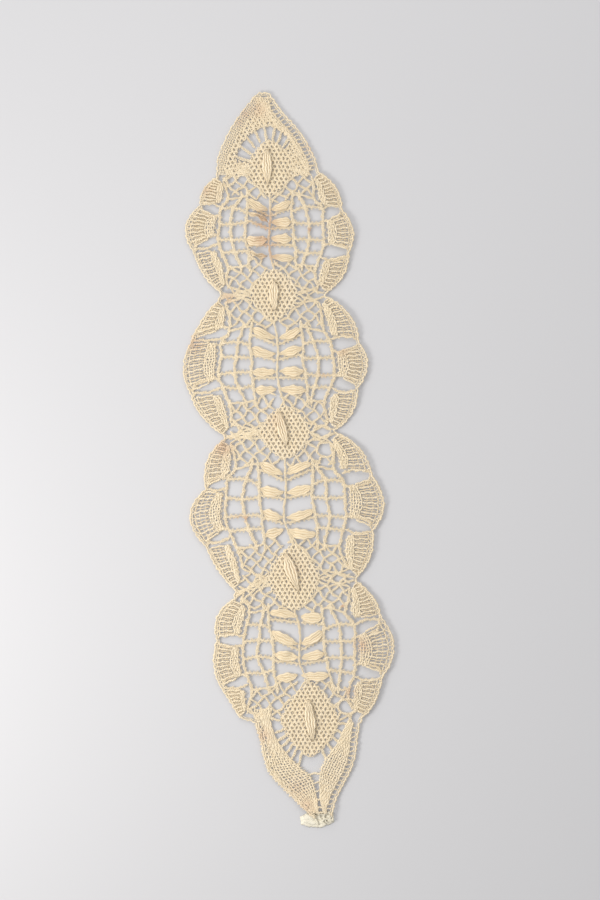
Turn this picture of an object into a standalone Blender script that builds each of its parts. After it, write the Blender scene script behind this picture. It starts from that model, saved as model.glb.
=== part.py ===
# Bobbin lace collar laid flat: one openwork sheet, five raised petals and a tape tab.
# The pricking below is counted in squares of half a millimetre, as the collar lies on the table.
import math

import bpy
import numpy as np
from mathutils import Vector
from mathutils.geometry import delaunay_2d_cdt

square = 0.0005              # one square of the pricking, m
lean = math.radians(4.2)     # the collar lies leaning by this much, and is turned upright at the end
sheet = 0.0012               # thickness of the worked lace, m
leaf_rise = 0.0008           # how far a leaf stands above the net, m
leg_rise = 0.0003            # the same for a leg of a fan
leg_dip = 0.0002             # how far the net drops between two legs
petal_gap = 0.0003           # air under a raised petal
petal_rise = 0.0022          # height of a raised petal
tape_thick = 0.0010          # folded tape
tape_gap = 0.0003            # air between the tape and the lace over it
stave_half = 2.0             # half width of a stave, squares
bar_half = 1.5               # half width of a bar, squares
least_gap = 3.2              # a gap narrower than this stays closed, squares
least_land = 1.6             # lace left between two gaps, squares
least_edge = 3.0             # lace left between a gap and the edge, squares
least_relief = 0.7           # lace left between a gap and a raised point, squares
leaf_wide = 9.0              # width of a leaf, squares
slit_half = 4.2              # half width of the slit between two fans, squares
seam_half = 1.9              # half width of the gap between a fan's core and its stave, squares
core_start = 4.6             # from the middle of a stave to the gap beside it, squares
legs_per_fan = 7
rhombus_power = 1.45         # 1 is a straight-sided rhombus and 2 an ellipse


def rows(columns, *lines):
    return [dict(zip(columns, line)) for line in lines]


# Centres of the four lobes, from the middle of the collar.
lobes = rows(
    ("x", "y"),
    (-18.5, 230),
    (-10.4, 95),
    (-3.0, -45),
    (11.5, -188))

# Half-stitch diamonds: centre and reach to each side.
diamonds = rows(
    ("x", "y", "left", "right", "up", "down"),
    (-18, 293, 23, 23, 27, 30),
    (-14, 165, 24, 24, 27, 27),
    (-3, 28, 26, 26, 27, 28),
    (6, -118, 27, 26, 34, 33),
    (22.5, -260, 30, 29, 38, 37))

# Each half of a lobe, measured outward and upward from the lobe's centre. The three staves at
# mid height, then the edge: its top waist, two notches, low waist, and the swell between them.
half_lobes = rows(
    ("lobe", "side", "stave1", "stave2", "stave3", "top_x", "top_y", "notch1_x", "notch1_y",
     "notch2_x", "notch2_y", "low_x", "low_y", "swell1", "swell2", "swell3", "slit1", "slit2"),
    (0, -1, 23.5, 37.8, 50.0, 53.5, 53, 70.5, 24, 77.0, -21, 49.5, -63, 4.6, 10.7, 4.5, 20, -12),
    (0, 1, 24.1, 39.1, 53.5, 49.5, 58, 73.0, 20, 81.0, -22, 56.5, -64, 7.0, 7.3, 6.5, 16, -22),
    (1, -1, 27.4, 42.8, 58.1, 59.0, 65, 86.6, 23, 86.6, -30, 53.6, -71, 3.5, 8.0, 5.3, 31, -21),
    (1, 1, 26.8, 39.4, 56.1, 49.4, 68, 81.4, 23, 79.9, -24, 57.4, -65, 9.0, 9.8, 7.5, 21, -19),
    (2, -1, 26.0, 41.0, 59.0, 62.0, 66, 80.5, 16, 80.0, -41, 50.0, -86, 8.0, 15.7, 2.3, 21, -31),
    (2, 1, 29.0, 43.0, 60.0, 52.0, 72, 88.0, 30, 89.0, -26, 72.0, -73, 7.8, 11.0, 5.8, 27, -20),
    (3, -1, 26.8, 40.8, 54.9, 66.5, 49, 83.5, 8, 78.5, -41, 59.5, -70, 8.0, 5.0, 0.5, 8, -34),
    (3, 1, 24.9, 41.5, 55.5, 57.5, 68, 82.0, 31, 83.5, -29, 63.5, -69, 4.2, 12.7, 4.5, 20, -24))

# Where each row of bars meets the staves. The width of stave 3 is a share of its own at mid
# height, and stave 2 lies between the other two at a share of its mid place. Heights are
# shares of the way from the lobe's centre to the diamond above or below it.
net_rows = rows(
    ("high1", "wide2", "high2", "wide3", "high3"),
    (0.78, 0.72, 0.74, 0.84, 0.66),
    (0.55, 0.56, 0.54, 0.84, 0.49),
    (0.27, 0.88, 0.34, 0.97, 0.34),
    (0.10, 1.00, 0.10, 1.00, 0.10),
    (-0.13, 1.00, -0.14, 1.00, -0.15),
    (-0.31, 0.88, -0.34, 0.96, -0.35),
    (-0.52, 0.60, -0.56, 0.84, -0.56),
    (-0.76, 0.72, -0.75, 0.84, -0.73))

# Pairs of leaves: height at the vein, at the left stave and at the right stave.
leaves = rows(
    ("lobe", "vein", "left", "right"),
    (0, 20, 30, 28), (0, 7, 16, 8), (0, -9, -9, -9), (0, -26, -21, -28),
    (1, 27, 37, 37), (1, 13, 13, 13), (1, -7, -7, -7), (1, -24, -25, -25),
    (2, 31, 42, 42), (2, 15, 15, 15), (2, -10, -10, -10), (2, -25, -30, -30),
    (3, 32, 35, 30), (3, 4, 17, 17), (3, -10, -6, -5), (3, -27, -30, -28))

# Raised petals on the diamonds: top end, low end and width.
petals = rows(
    ("top_x", "top_y", "low_x", "low_y", "width"),
    (-21.5, 311, -20, 275, 8),
    (-14, 180, -12.5, 148, 8),
    (-10, 49, -1.5, 13, 8),
    (-2, -92, 11, -132, 9),
    (20, -239, 25.5, -280, 9))

# Edges of the two ends of the collar, from the outside in to the tips.
top_edge = rows(
    ("left", "right", "y"),
    (-71, 28.5, 299), (-67, 22, 312), (-60, 13, 327), (-51, 1, 341), (-43, -9, 353),
    (-35, -15, 362), (-29, -20, 367))
low_edge = rows(
    ("left", "right", "y"),
    (-33, 72.5, -263), (-28, 69.5, -280), (-24, 67, -298), (-20, 63, -311),
    (-10, 56, -323), (3, 49.5, -336), (15, 46, -348), (26, 44, -358), (33, 39.5, -366))

# Gaps between the legs that run from an end diamond to the band round it: bearing of both
# sides from the diamond's centre in degrees, and the reach of the inner and outer end.
top_gaps = rows(
    ("start", "stop", "near", "far"),
    (12, 30, 22, 27), (46, 66, 20, 28), (68, 80, 22, 31),
    (80, 91, 27, 38), (105, 118, 30, 43), (119, 131, 30, 42), (132, 146, 26, 40),
    (148, 159, 27, 36), (168, 184, 22, 31))
low_gaps = rows(
    ("start", "stop", "near", "far"),
    (214, 224, 27, 44), (233, 242, 29, 44), (247, 254, 33, 49),
    (261, 279, 39, 51), (293, 311, 26, 39), (318, 335, 25, 37), (340, 357, 27, 36))

# The end of the folded tape under the low tip, round its rim.
tape_rim = ((14, -356), (30, -354), (46, -352), (48.5, -356), (48, -362), (44, -366),
            (30, -368), (16, -367), (12.5, -364), (12, -359), (14, -356))


def at(lobe, side, x, y):
    # a point of a half lobe on the paper
    return np.array((lobe["x"] + side * x, lobe["y"] + y))


def swollen(start, stop, swell, count, side):
    # count points along a chord that swells outward by a parabola of the given height
    share = np.linspace(0.0, 1.0, count)[:, None]
    along = stop - start
    outward = np.array((along[1], -along[0])) * -side / np.linalg.norm(along)
    return start + along * share + outward * swell * 4.0 * share * (1.0 - share)


def half_frame(row):
    # the named points of one half lobe
    lobe, side, order = lobes[row["lobe"]], row["side"], row["lobe"]
    above, below = diamonds[order], diamonds[order + 1]
    reach = "left" if side < 0 else "right"
    rise, fall = above["y"] - lobe["y"], lobe["y"] - below["y"]
    corner_top = np.array((above["x"] + side * above[reach], above["y"]))
    corner_low = np.array((below["x"] + side * below[reach], below["y"]))
    top = at(lobe, side, row["top_x"], row["top_y"])
    low = at(lobe, side, row["low_x"], row["low_y"])
    waist_top, waist_low = row["top_x"] - 7, row["low_x"] - 7
    inner_top = at(lobe, side, waist_top, min(row["top_y"], 0.93 * rise) - 4)
    inner_low = at(lobe, side, waist_low, 4 - min(-row["low_y"], 0.93 * fall))
    pins = [(corner_top, corner_top * 0.6 + inner_top * 0.4, inner_top)]
    for line in net_rows:
        upward = line["high1"] > 0
        tall = rise if upward else fall
        corner, waist = (corner_top, waist_top) if upward else (corner_low, waist_low)
        pull = abs(line["high1"])
        x1 = row["stave1"] * (1 - pull) + side * (corner[0] - lobe["x"]) * pull
        pull = line["high3"] ** 2
        x3 = row["stave3"] * line["wide3"] + (waist - row["stave3"] * 0.88) * pull
        middle = (row["stave2"] - row["stave1"]) / (row["stave3"] - row["stave1"])
        x2 = x1 + (x3 - x1) * middle * line["wide2"]
        pins.append((at(lobe, side, x1, line["high1"] * tall),
                     at(lobe, side, x2, line["high2"] * tall),
                     at(lobe, side, x3, line["high3"] * tall)))
    pins.append((corner_low, corner_low * 0.6 + inner_low * 0.4, inner_low))
    notch1 = at(lobe, side, row["notch1_x"], row["notch1_y"])
    notch2 = at(lobe, side, row["notch2_x"], row["notch2_y"])
    edge = [swollen(top, notch1, row["swell1"], 13, side),
            swollen(notch1, notch2, row["swell2"], 13, side),
            swollen(notch2, low, row["swell3"], 13, side)]
    return {"row": row, "lobe": lobe, "side": side, "pins": pins, "top": top, "low": low,
            "notch1": notch1, "notch2": notch2, "edge": edge}


def area(points):
    x, y = points[:, 0], points[:, 1]
    return 0.5 * float(np.sum(x * np.roll(y, -1) - y * np.roll(x, -1)))


def inset(points, borders):
    # each side of a polygon moved inward by its own border
    points = np.asarray(points, dtype=float)
    if area(points) < 0:
        points, borders = points[::-1], list(borders[-2::-1]) + [borders[-1]]
    count = len(points)
    lines = []
    for i in range(count):
        a, b = points[i], points[(i + 1) % count]
        along = (b - a) / np.linalg.norm(b - a)
        inward = np.array((-along[1], along[0]))
        lines.append((a + inward * borders[i], along))
    corners = []
    for i in range(count):
        (p, d), (q, e) = lines[i - 1], lines[i]
        cross = d[0] * e[1] - d[1] * e[0]
        if abs(cross) < 1e-3:
            return None
        corners.append(p + d * ((q - p)[0] * e[1] - (q - p)[1] * e[0]) / cross)
    corners = np.array(corners)
    turned = np.roll(corners, -1, axis=0) - corners
    kept = np.roll(points, -1, axis=0) - points
    if np.any(np.sum(turned * kept, axis=1) <= 0) or area(corners) < 2.5 * least_gap ** 2:
        return None
    span = [np.ptp(corners @ np.array((math.cos(t), math.sin(t)))) for t in np.arange(12) * math.pi / 12]
    return None if min(span) < least_gap else corners


def rounded(corners, share=0.24):
    # every corner cut off at a share of its sides
    ahead = np.roll(corners, -1, axis=0)
    back = np.roll(corners, 1, axis=0)
    pairs = np.stack((corners + (back - corners) * share, corners + (ahead - corners) * share), 1)
    return pairs.reshape(-1, 2)


def slot(start, stop, half):
    # a long hexagon between two points
    along = (stop - start) / np.linalg.norm(stop - start)
    across = np.array((-along[1], along[0])) * half
    ends = along * half
    return np.array((start - ends * 0.4, start + ends * 0.4 - across, stop - ends * 0.4 - across,
                     stop + ends * 0.4, stop - ends * 0.4 + across, start + ends * 0.4 + across))


def diamond_edge(diamond, bearing, grow=0.0):
    # a point on the diamond's rounded rhombus at a bearing in radians
    c, s = math.cos(bearing), math.sin(bearing)
    wide = diamond["right"] if c > 0 else diamond["left"]
    tall = diamond["up"] if s > 0 else diamond["down"]
    sides = (abs(c) / wide) ** rhombus_power + (abs(s) / tall) ** rhombus_power
    radius = sides ** (-1 / rhombus_power)
    return np.array((diamond["x"], diamond["y"])) + (radius + grow) * np.array((c, s))


def polar_gaps(diamond, table):
    gaps = []
    middle = np.array((diamond["x"], diamond["y"]))
    for row in table:
        a, b = math.radians(row["start"] + 1), math.radians(row["stop"] - 1)
        ray = [np.array((math.cos(t), math.sin(t))) for t in (a, b)]
        corners = np.array((middle + ray[0] * row["near"], middle + ray[0] * row["far"],
                            middle + ray[1] * row["far"], middle + ray[1] * row["near"]))
        gaps.append(rounded(corners))
    return gaps


def leaf_ends(row, side):
    # a leaf runs from the vein to the first stave
    lobe = lobes[row["lobe"]]
    half = next(h for h in half_lobes if h["lobe"] == row["lobe"] and h["side"] == side)
    height = row["left"] if side < 0 else row["right"]
    return at(lobe, side, 2, row["vein"]), at(lobe, side, half["stave1"] - 1, height)


def lay_out():
    # all shapes of the pricking, in squares
    frames = [half_frame(row) for row in half_lobes]
    gaps = []
    for frame in frames:
        lobe, side, pins = frame["lobe"], frame["side"], frame["pins"]
        for upper, lower in zip(pins[:-1], pins[1:]):
            for k in (0, 1):
                corners = (upper[k], upper[k + 1], lower[k + 1], lower[k])
                borders = (bar_half, stave_half, bar_half, stave_half)
                gaps.append(inset(corners, borders))
        row = frame["row"]
        path = np.array([pin[2] for pin in pins[::-1]])
        for notch, height in ((frame["notch1"], row["slit1"]), (frame["notch2"], row["slit2"])):
            pull = 0.3 * (notch[1] - lobe["y"] - height)
            foot = lobe["y"] + height - pull
            start = np.array((np.interp(foot, path[:, 1], path[:, 0]) + side * core_start, foot))
            reach = side * (notch[0] - lobe["x"]) - least_edge - slit_half * 0.8
            gaps.append(slot(start, at(lobe, side, reach, height + pull), slit_half))
        marks = ((row["top_y"] - 14, row["slit1"] + 10), (row["slit1"] - 10, row["slit2"] + 10),
                 (row["slit2"] - 10, row["low_y"] + 16))
        for high, low in marks:
            ends = [lobe["y"] + low + (high - low) * share for share in (0.72, 0.28)]
            ends = [np.array((np.interp(y, path[:, 1], path[:, 0]) + side * core_start, y)) for y in ends]
            if ends[0][1] - ends[1][1] > 3:
                gaps.append(slot(ends[0], ends[1], seam_half))
    for left, right in zip(frames[0::2], frames[1::2]):
        for frame in (left, right):
            lobe, side = frame["lobe"], frame["side"]
            number = lobes.index(lobe)
            rows_here = [row for row in leaves if row["lobe"] == number]
            for upper, lower in zip(rows_here[:-1], rows_here[1:]):
                a, b = leaf_ends(upper, side)
                d, c = leaf_ends(lower, side)
                corners = (a + (side * 1.5, 0), b, c, d + (side * 1.5, 0))
                gaps.append(inset(corners, (7.2, 1.5, 4.0, 1.0)))
            for row, diamond, facing in ((rows_here[0], diamonds[number], -1),
                                         (rows_here[-1], diamonds[number + 1], 1)):
                a, b = leaf_ends(row, side)
                bearing = [facing * (math.pi / 2 - side * off) for off in (0.35, 1.15)]
                near, wide = (diamond_edge(diamond, t, 1.5) for t in bearing)
                corners = (a + (side * 3, 0), b, wide, near)
                gaps.append(inset(corners, (4.6, 1.8, 1.8, 1.8)))
    for upper, lower in zip(frames[:-2], frames[2:]):
        a, b = upper["pins"][-1], lower["pins"][0]
        corners = (a[2], a[1], b[1], b[2])
        gaps.append(inset(corners, (bar_half, 1.0, bar_half, 1.5)))
    gaps += polar_gaps(diamonds[0], top_gaps) + polar_gaps(diamonds[4], low_gaps)
    gaps = [rounded(g) if g is not None and len(g) < 5 else g for g in gaps if g is not None]

    left, right = [], []
    for frame in frames[0::2]:
        for arc in frame["edge"]:
            left += list(arc[:-1])
        left.append(frame["low"])
    for frame in frames[1::2]:
        upward = [frame["low"]]
        for arc in reversed(frame["edge"]):
            upward += list(arc[-2::-1])
        right = upward + right
    tip = [(row["left"], row["y"]) for row in low_edge]
    tip += [(row["right"], row["y"]) for row in low_edge[::-1]]
    top = [(row["right"], row["y"]) for row in top_edge]
    top += [(row["left"], row["y"]) for row in top_edge[::-1]]
    outline = np.vstack((left, smooth(tip, 3), right, smooth(top, 3)))
    return {"frames": frames, "gaps": clear_gaps(gaps, outline), "outline": outline}


def dense(loop, parts=4):
    # a closed loop with its sides divided
    share = np.arange(parts)[:, None] / parts
    return np.vstack([a + (b - a) * share for a, b in zip(loop, np.roll(loop, -1, axis=0))])


def clear_gaps(gaps, outline):
    # the gaps that stand clear of the edge and of every gap before them
    kept = []
    taken = [dense(outline)]
    for gap in gaps:
        rim = dense(gap)
        if not inside(rim, outline).all():
            continue
        limits = [least_edge] + [least_land] * len(kept)
        gaps_to = [np.hypot(*(rim[:, None] - other[None]).transpose(2, 0, 1)).min() for other in taken]
        if all(g > limit for g, limit in zip(gaps_to, limits)):
            if not any(inside(gap[:1], other)[0] or inside(other[:1], gap)[0] for other in kept):
                kept.append(gap)
                taken.append(rim)
    return kept


def smooth(points, parts):
    # a curve through the points: each stretch is a cubic with the slopes of its neighbours
    points = np.asarray(points, dtype=float)
    padded = np.vstack((2 * points[0] - points[1], points, 2 * points[-1] - points[-2]))
    curve = []
    for p0, p1, p2, p3 in zip(padded[:-3], padded[1:-2], padded[2:-1], padded[3:]):
        for t in np.arange(parts) / parts:
            curve.append(p1 + 0.5 * t * (p2 - p0 + t * (2 * p0 - 5 * p1 + 4 * p2 - p3
                                                        + t * (3 * (p1 - p2) + p3 - p0))))
    return np.vstack((curve, points[-1]))


def legs_of(frame):
    # both ends of every leg of the three fans of a half lobe
    lobe, side, row = frame["lobe"], frame["side"], frame["row"]
    path = np.array([pin[2] for pin in frame["pins"][::-1]])
    marks = ((row["top_y"] - 8, row["slit1"] + 7), (row["slit1"] - 7, row["slit2"] + 7),
             (row["slit2"] - 7, row["low_y"] + 10))
    legs = []
    for (high, low), arc in zip(marks, frame["edge"]):
        share = (np.arange(legs_per_fan) + 0.5) / legs_per_fan
        y = lobe["y"] + high + (low - high) * share
        root = np.stack((np.interp(y, path[:, 1], path[:, 0]), y), 1)
        spread = share * 0.84 + 0.08
        index = spread * (len(arc) - 1)
        end = np.stack([np.interp(index, np.arange(len(arc)), arc[:, k]) for k in (0, 1)], 1)
        legs.append((root + (end - root) * 0.48, root + (end - root) * 0.83))
    return legs


def lift(points):
    # how far the lace stands up where the tape lies under its tip, m
    x, y = points[:, 0], points[:, 1]
    off = np.hypot(np.maximum(np.abs(x - 30) - 20, 0), np.maximum(np.abs(y + 360) - 10, 0))
    share = np.clip(1 - off / 18, 0, 1)
    return (tape_thick + tape_gap) * share * share * (3 - 2 * share)


def inside(points, loop):
    # which points lie inside a closed loop
    x, y = points[:, 0], points[:, 1]
    result = np.zeros(len(points), dtype=bool)
    for (ax, ay), (bx, by) in zip(loop, np.roll(loop, -1, axis=0)):
        crosses = (ay > y) != (by > y)
        result ^= crosses & (x < (bx - ax) * (y - ay) / (by - ay + (by == ay)) + ax)
    return result


def upright(points):
    # from the paper as the collar lies to metres with its length along +Y
    c, s = math.cos(lean), math.sin(lean)
    turned = np.stack((points[:, 0] * c + points[:, 1] * s, points[:, 1] * c - points[:, 0] * s), 1)
    return turned * square


def triangulate(points, edges, outline, gaps):
    result = delaunay_2d_cdt([Vector(p) for p in points], edges, [], 0, 1e-6)
    if len(result[0]) != len(points):
        raise ValueError("two gaps of the pricking cross")
    order = [ids[0] for ids in result[3]]
    faces = np.array([[order[v] for v in face] for face in result[2]])
    middle = points[faces].mean(axis=1)
    keep = inside(middle, outline)
    for gap in gaps:
        keep &= ~inside(middle, gap)
    faces = faces[keep]
    a, b, c = (points[faces[:, k]] for k in range(3))
    flipped = (b - a)[:, 0] * (c - a)[:, 1] - (b - a)[:, 1] * (c - a)[:, 0] < 0
    faces[flipped] = faces[flipped][:, ::-1]
    return faces


def lace_mesh(layout, middle):
    # top with its relief, flat underside and the walls of every gap
    loops = [layout["outline"]] + layout["gaps"]
    edge_points = np.vstack(loops)
    edges, first = [], 0
    for loop in loops:
        ids = np.arange(len(loop))
        edges += [(first + int(i), first + int((i + 1) % len(loop))) for i in ids]
        first += len(loop)
    border = len(edge_points)

    rims = np.vstack([dense(gap) for gap in loops[1:]])

    def clear(points):
        # whether a few points all stand off the gaps
        near = np.hypot(*(points[:, None] - rims[None]).transpose(2, 0, 1)).min() < least_relief
        return not near and not any(inside(points, gap).any() for gap in loops[1:])

    relief, heights, ridges = [], [], []
    for row in leaves:
        for side in (-1, 1):
            a, b = leaf_ends(row, side)
            along = b - a
            across = np.array((-along[1], along[0])) / np.linalg.norm(along)
            for share, wide in ((0.18, 0.6), (0.5, 1.0), (0.82, 0.6)):
                for off in (-1, 0, 1):
                    spot = a + along * share + across * off * wide * leaf_wide * 0.30
                    if clear(spot[None]):
                        relief.append(spot)
                        heights.append(leaf_rise * (1.0 if off == 0 else 0.75))
    for frame in layout["frames"]:
        for near, far in legs_of(frame):
            lines = [(near[k], far[k], leg_rise) for k in range(legs_per_fan)]
            lines += [((near[k] + near[k + 1]) / 2, (far[k] + far[k + 1]) / 2, -leg_dip)
                      for k in range(legs_per_fan - 1)]
            for a, b, height in lines:
                if clear(a + (b - a) * np.linspace(0, 1, 9)[:, None]):
                    ridges.append((border + len(relief), border + len(relief) + 1))
                    relief += [a, b]
                    heights += [height, height]
    relief, heights = np.array(relief), np.array(heights)
    grid = np.array([(x, y) for y in range(-364, -300, 9) for x in range(-20, 64, 9)], dtype=float)
    grid = np.array([p for p in grid if inside(p[None], loops[0])[0] and clear(p[None])])

    top_points = np.vstack((edge_points, relief, grid))
    top_z = sheet + lift(top_points)
    top_z[border:border + len(relief)] += heights
    low_points = np.vstack((edge_points, grid))
    low_z = lift(low_points)
    top = triangulate(top_points, edges + ridges, loops[0], loops[1:])
    low = triangulate(low_points, edges, loops[0], loops[1:]) + len(top_points)
    used = {(int(f[i]), int(f[(i + 1) % 3])) for f in top for i in range(3)}
    walls = []
    for a, b in used:
        if (b, a) not in used:
            p, q = a + len(top_points), b + len(top_points)
            walls += [(b, a, p), (b, p, q)]
    walls.sort()
    flat = np.vstack((upright(top_points), upright(low_points))) - middle
    vertices = np.column_stack((flat, np.concatenate((top_z, low_z))))
    return vertices, [tuple(map(int, f)) for f in top] + [tuple(map(int, f[::-1])) for f in low] + walls


def petal_mesh(row, middle):
    # a leaf worked on top of a diamond: pointed ends, four ridges along it
    ends = np.array(((row["top_x"], row["top_y"]), (row["low_x"], row["low_y"])), dtype=float)
    start, stop = upright(ends) - middle
    along = stop - start
    across = np.array((-along[1], along[0])) / np.linalg.norm(along)
    half = row["width"] * square / 2
    floor = sheet + petal_gap
    stations, spread = 11, np.linspace(-1, 1, 9)
    vertices, faces = [(*start, floor + petal_rise * 0.15)], []
    for t in np.linspace(0, 1, stations + 2)[1:-1]:
        swell = math.sin(math.pi * t) ** 0.7
        for s in spread:
            crest = 0.12 * math.cos(4 * math.pi * s) if abs(s) < 0.99 else 0
            height = swell * petal_rise * (1 - 0.6 * s * s + crest * (1 - s * s) - 0.12)
            vertices.append((*(start + along * t + across * s * half * swell), floor + max(height, 0.0004)))
        for s in (1, -1):
            vertices.append((*(start + along * t + across * s * half * swell * 0.9), floor))
    vertices.append((*stop, floor + petal_rise * 0.15))
    ring = len(spread) + 2
    last = len(vertices) - 1
    for k in range(ring):
        n = (k + 1) % ring
        faces.append((0, 1 + k, 1 + n))
        base = 1 + (stations - 1) * ring
        faces.append((last, base + n, base + k))
        for j in range(stations - 1):
            a, b = 1 + j * ring, 1 + (j + 1) * ring
            faces += [(a + k, b + n, a + n), (a + k, b + k, b + n)]
    return vertices, faces


def tape_loop():
    return upright(smooth(tape_rim, 2)[:-1])


def tape_mesh(middle):
    # a short end of folded tape, its lower side bowed
    flat = tape_loop() - middle
    count = len(flat)
    inner = flat.mean(axis=0) + (flat - flat.mean(axis=0)) * 0.93
    levels = ((inner, 0.0), (flat, tape_thick * 0.25), (flat, tape_thick * 0.75), (inner, tape_thick))
    vertices = [(*p, z) for loop, z in levels for p in loop]
    faces = [tuple(range(count)), tuple(range(4 * count - 1, 3 * count - 1, -1))]
    for level in range(3):
        for k in range(count):
            a, b = level * count + k, level * count + (k + 1) % count
            faces.append((a, a + count, b + count, b))
    return vertices, faces


def plain_material(name, color, roughness):
    material = bpy.data.materials.new(name)
    material.use_nodes = True
    shader = material.node_tree.nodes["Principled BSDF"]
    shader.inputs["Base Color"].default_value = (*color, 1.0)
    shader.inputs["Roughness"].default_value = roughness
    shader.inputs["Metallic"].default_value = 0.0
    material.diffuse_color = (*color, 1.0)
    return material


def add_object(name, vertices, faces, material):
    mesh = bpy.data.meshes.new(name)
    mesh.from_pydata([tuple(map(float, v)) for v in vertices], [], faces)
    mesh.materials.append(material)
    mesh.update()
    item = bpy.data.objects.new(name, mesh)
    bpy.context.scene.collection.objects.link(item)
    return item


def build():
    for item in list(bpy.data.objects):
        bpy.data.objects.remove(item, do_unlink=True)
    layout = lay_out()
    laid = np.vstack((upright(layout["outline"]), tape_loop()))
    middle = (laid.min(axis=0) + laid.max(axis=0)) / 2
    ecru = plain_material("ecru_thread", (0.74, 0.62, 0.42), 0.85)
    white = plain_material("white_tape", (0.82, 0.79, 0.70), 0.8)
    add_object("lace", *lace_mesh(layout, middle), ecru)
    for number, row in enumerate(petals, 1):
        add_object("petal_%d" % number, *petal_mesh(row, middle), ecru)
    add_object("tape_tab", *tape_mesh(middle), white)


if __name__ == "__main__":
    build()
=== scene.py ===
# Bobbin lace collar: every plait, leaf, woven patch and edge cord is made as real threads.
# The pricking is counted in squares of half a millimetre, on the paper as the collar lies.
import math

import bpy
import numpy as np
from mathutils import Matrix, Vector


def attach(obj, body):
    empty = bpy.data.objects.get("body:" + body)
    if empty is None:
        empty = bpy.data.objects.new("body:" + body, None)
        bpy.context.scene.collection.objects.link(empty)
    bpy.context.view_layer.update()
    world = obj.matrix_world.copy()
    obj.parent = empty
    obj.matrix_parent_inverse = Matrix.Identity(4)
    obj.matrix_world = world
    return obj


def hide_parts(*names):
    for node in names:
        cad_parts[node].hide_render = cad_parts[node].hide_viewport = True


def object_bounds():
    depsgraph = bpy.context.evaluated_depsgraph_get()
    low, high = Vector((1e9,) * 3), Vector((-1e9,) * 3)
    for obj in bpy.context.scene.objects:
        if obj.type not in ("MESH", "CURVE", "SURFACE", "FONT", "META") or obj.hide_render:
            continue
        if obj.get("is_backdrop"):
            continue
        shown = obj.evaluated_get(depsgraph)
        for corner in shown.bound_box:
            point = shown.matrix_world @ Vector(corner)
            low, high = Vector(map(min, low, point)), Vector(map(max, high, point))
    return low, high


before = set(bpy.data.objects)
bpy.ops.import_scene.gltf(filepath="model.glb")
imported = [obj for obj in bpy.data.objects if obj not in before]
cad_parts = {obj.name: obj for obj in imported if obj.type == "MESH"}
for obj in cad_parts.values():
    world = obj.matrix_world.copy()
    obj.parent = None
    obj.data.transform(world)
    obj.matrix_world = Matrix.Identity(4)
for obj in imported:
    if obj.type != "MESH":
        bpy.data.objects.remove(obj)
cadLow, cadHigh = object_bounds()

paper = {
    "square": 0.0005,                 # m
    "lean": math.radians(4.2),        # how far the collar leans to the left as it lies
    "middle": (-0.00245018, -0.00018269),   # m, middle of the upright outline
    "photoCentre": (12.0, 10.0),      # the picture's centre, in squares
    "archPins": 13,                   # pins along one scallop
}


def rows(columns, *lines):
    # each line of a table as a dictionary with the names of its columns
    return [dict(zip(columns, line)) for line in lines]


# middles of the four lobes
lobes = rows(
    ("x", "y"),
    (-18.5, 230), (-10.4, 95), (-3.0, -45), (11.5, -188))

# the five rhombuses: middle, and reach to each side
diamonds = rows(
    ("x", "y", "left", "right", "up", "down"),
    (-18, 293, 23, 23, 27, 30),
    (-14, 165, 24, 24, 27, 27),
    (-3, 28, 26, 26, 27, 28),
    (6, -118, 27, 26, 34, 33),
    (22.5, -260, 30, 29, 38, 37))

# each half lobe: staves 1 to 3 across its middle, the corners of its scallops, how far these swell, and
# the heights of the slits between its fans
halfLobes = rows(
    ("lobe", "side", "stave1", "stave2", "stave3", "topX", "topY", "notch1X", "notch1Y",
     "notch2X", "notch2Y", "lowX", "lowY", "swell1", "swell2", "swell3", "slit1", "slit2"),
    (0, -1, 23.5, 37.8, 50.0, 53.5, 53, 70.5, 24, 77.0, -21, 49.5, -63, 4.6, 10.7, 4.5, 20, -12),
    (0, 1, 24.1, 39.1, 53.5, 49.5, 58, 73.0, 20, 81.0, -22, 56.5, -64, 7.0, 7.3, 6.5, 16, -22),
    (1, -1, 27.4, 42.8, 58.1, 59.0, 65, 86.6, 23, 86.6, -30, 53.6, -71, 3.5, 8.0, 5.3, 31, -21),
    (1, 1, 26.8, 39.4, 56.1, 49.4, 68, 81.4, 23, 79.9, -24, 57.4, -65, 9.0, 9.8, 7.5, 21, -19),
    (2, -1, 26.0, 41.0, 59.0, 62.0, 66, 80.5, 16, 80.0, -41, 50.0, -86, 8.0, 15.7, 2.3, 21, -31),
    (2, 1, 29.0, 43.0, 60.0, 52.0, 72, 88.0, 30, 89.0, -26, 72.0, -73, 7.8, 11.0, 5.8, 27, -20),
    (3, -1, 26.8, 40.8, 54.9, 66.5, 49, 83.5, 8, 78.5, -41, 59.5, -70, 8.0, 5.0, 0.5, 8, -34),
    (3, 1, 24.9, 41.5, 55.5, 57.5, 68, 82.0, 31, 83.5, -29, 63.5, -69, 4.2, 12.7, 4.5, 20, -24))

# rows of pins: heights on staves 1 to 3 as shares of the lobe's, and how far staves 2 and 3 still stand out
netRows = rows(
    ("high1", "wide2", "high2", "wide3", "high3"),
    (0.78, 0.72, 0.74, 0.84, 0.66),
    (0.55, 0.56, 0.54, 0.84, 0.49),
    (0.27, 0.88, 0.34, 0.97, 0.34),
    (0.10, 1.00, 0.10, 1.00, 0.10),
    (-0.13, 1.00, -0.14, 1.00, -0.15),
    (-0.31, 0.88, -0.34, 0.96, -0.35),
    (-0.52, 0.60, -0.56, 0.84, -0.56),
    (-0.76, 0.72, -0.75, 0.84, -0.73))

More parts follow.
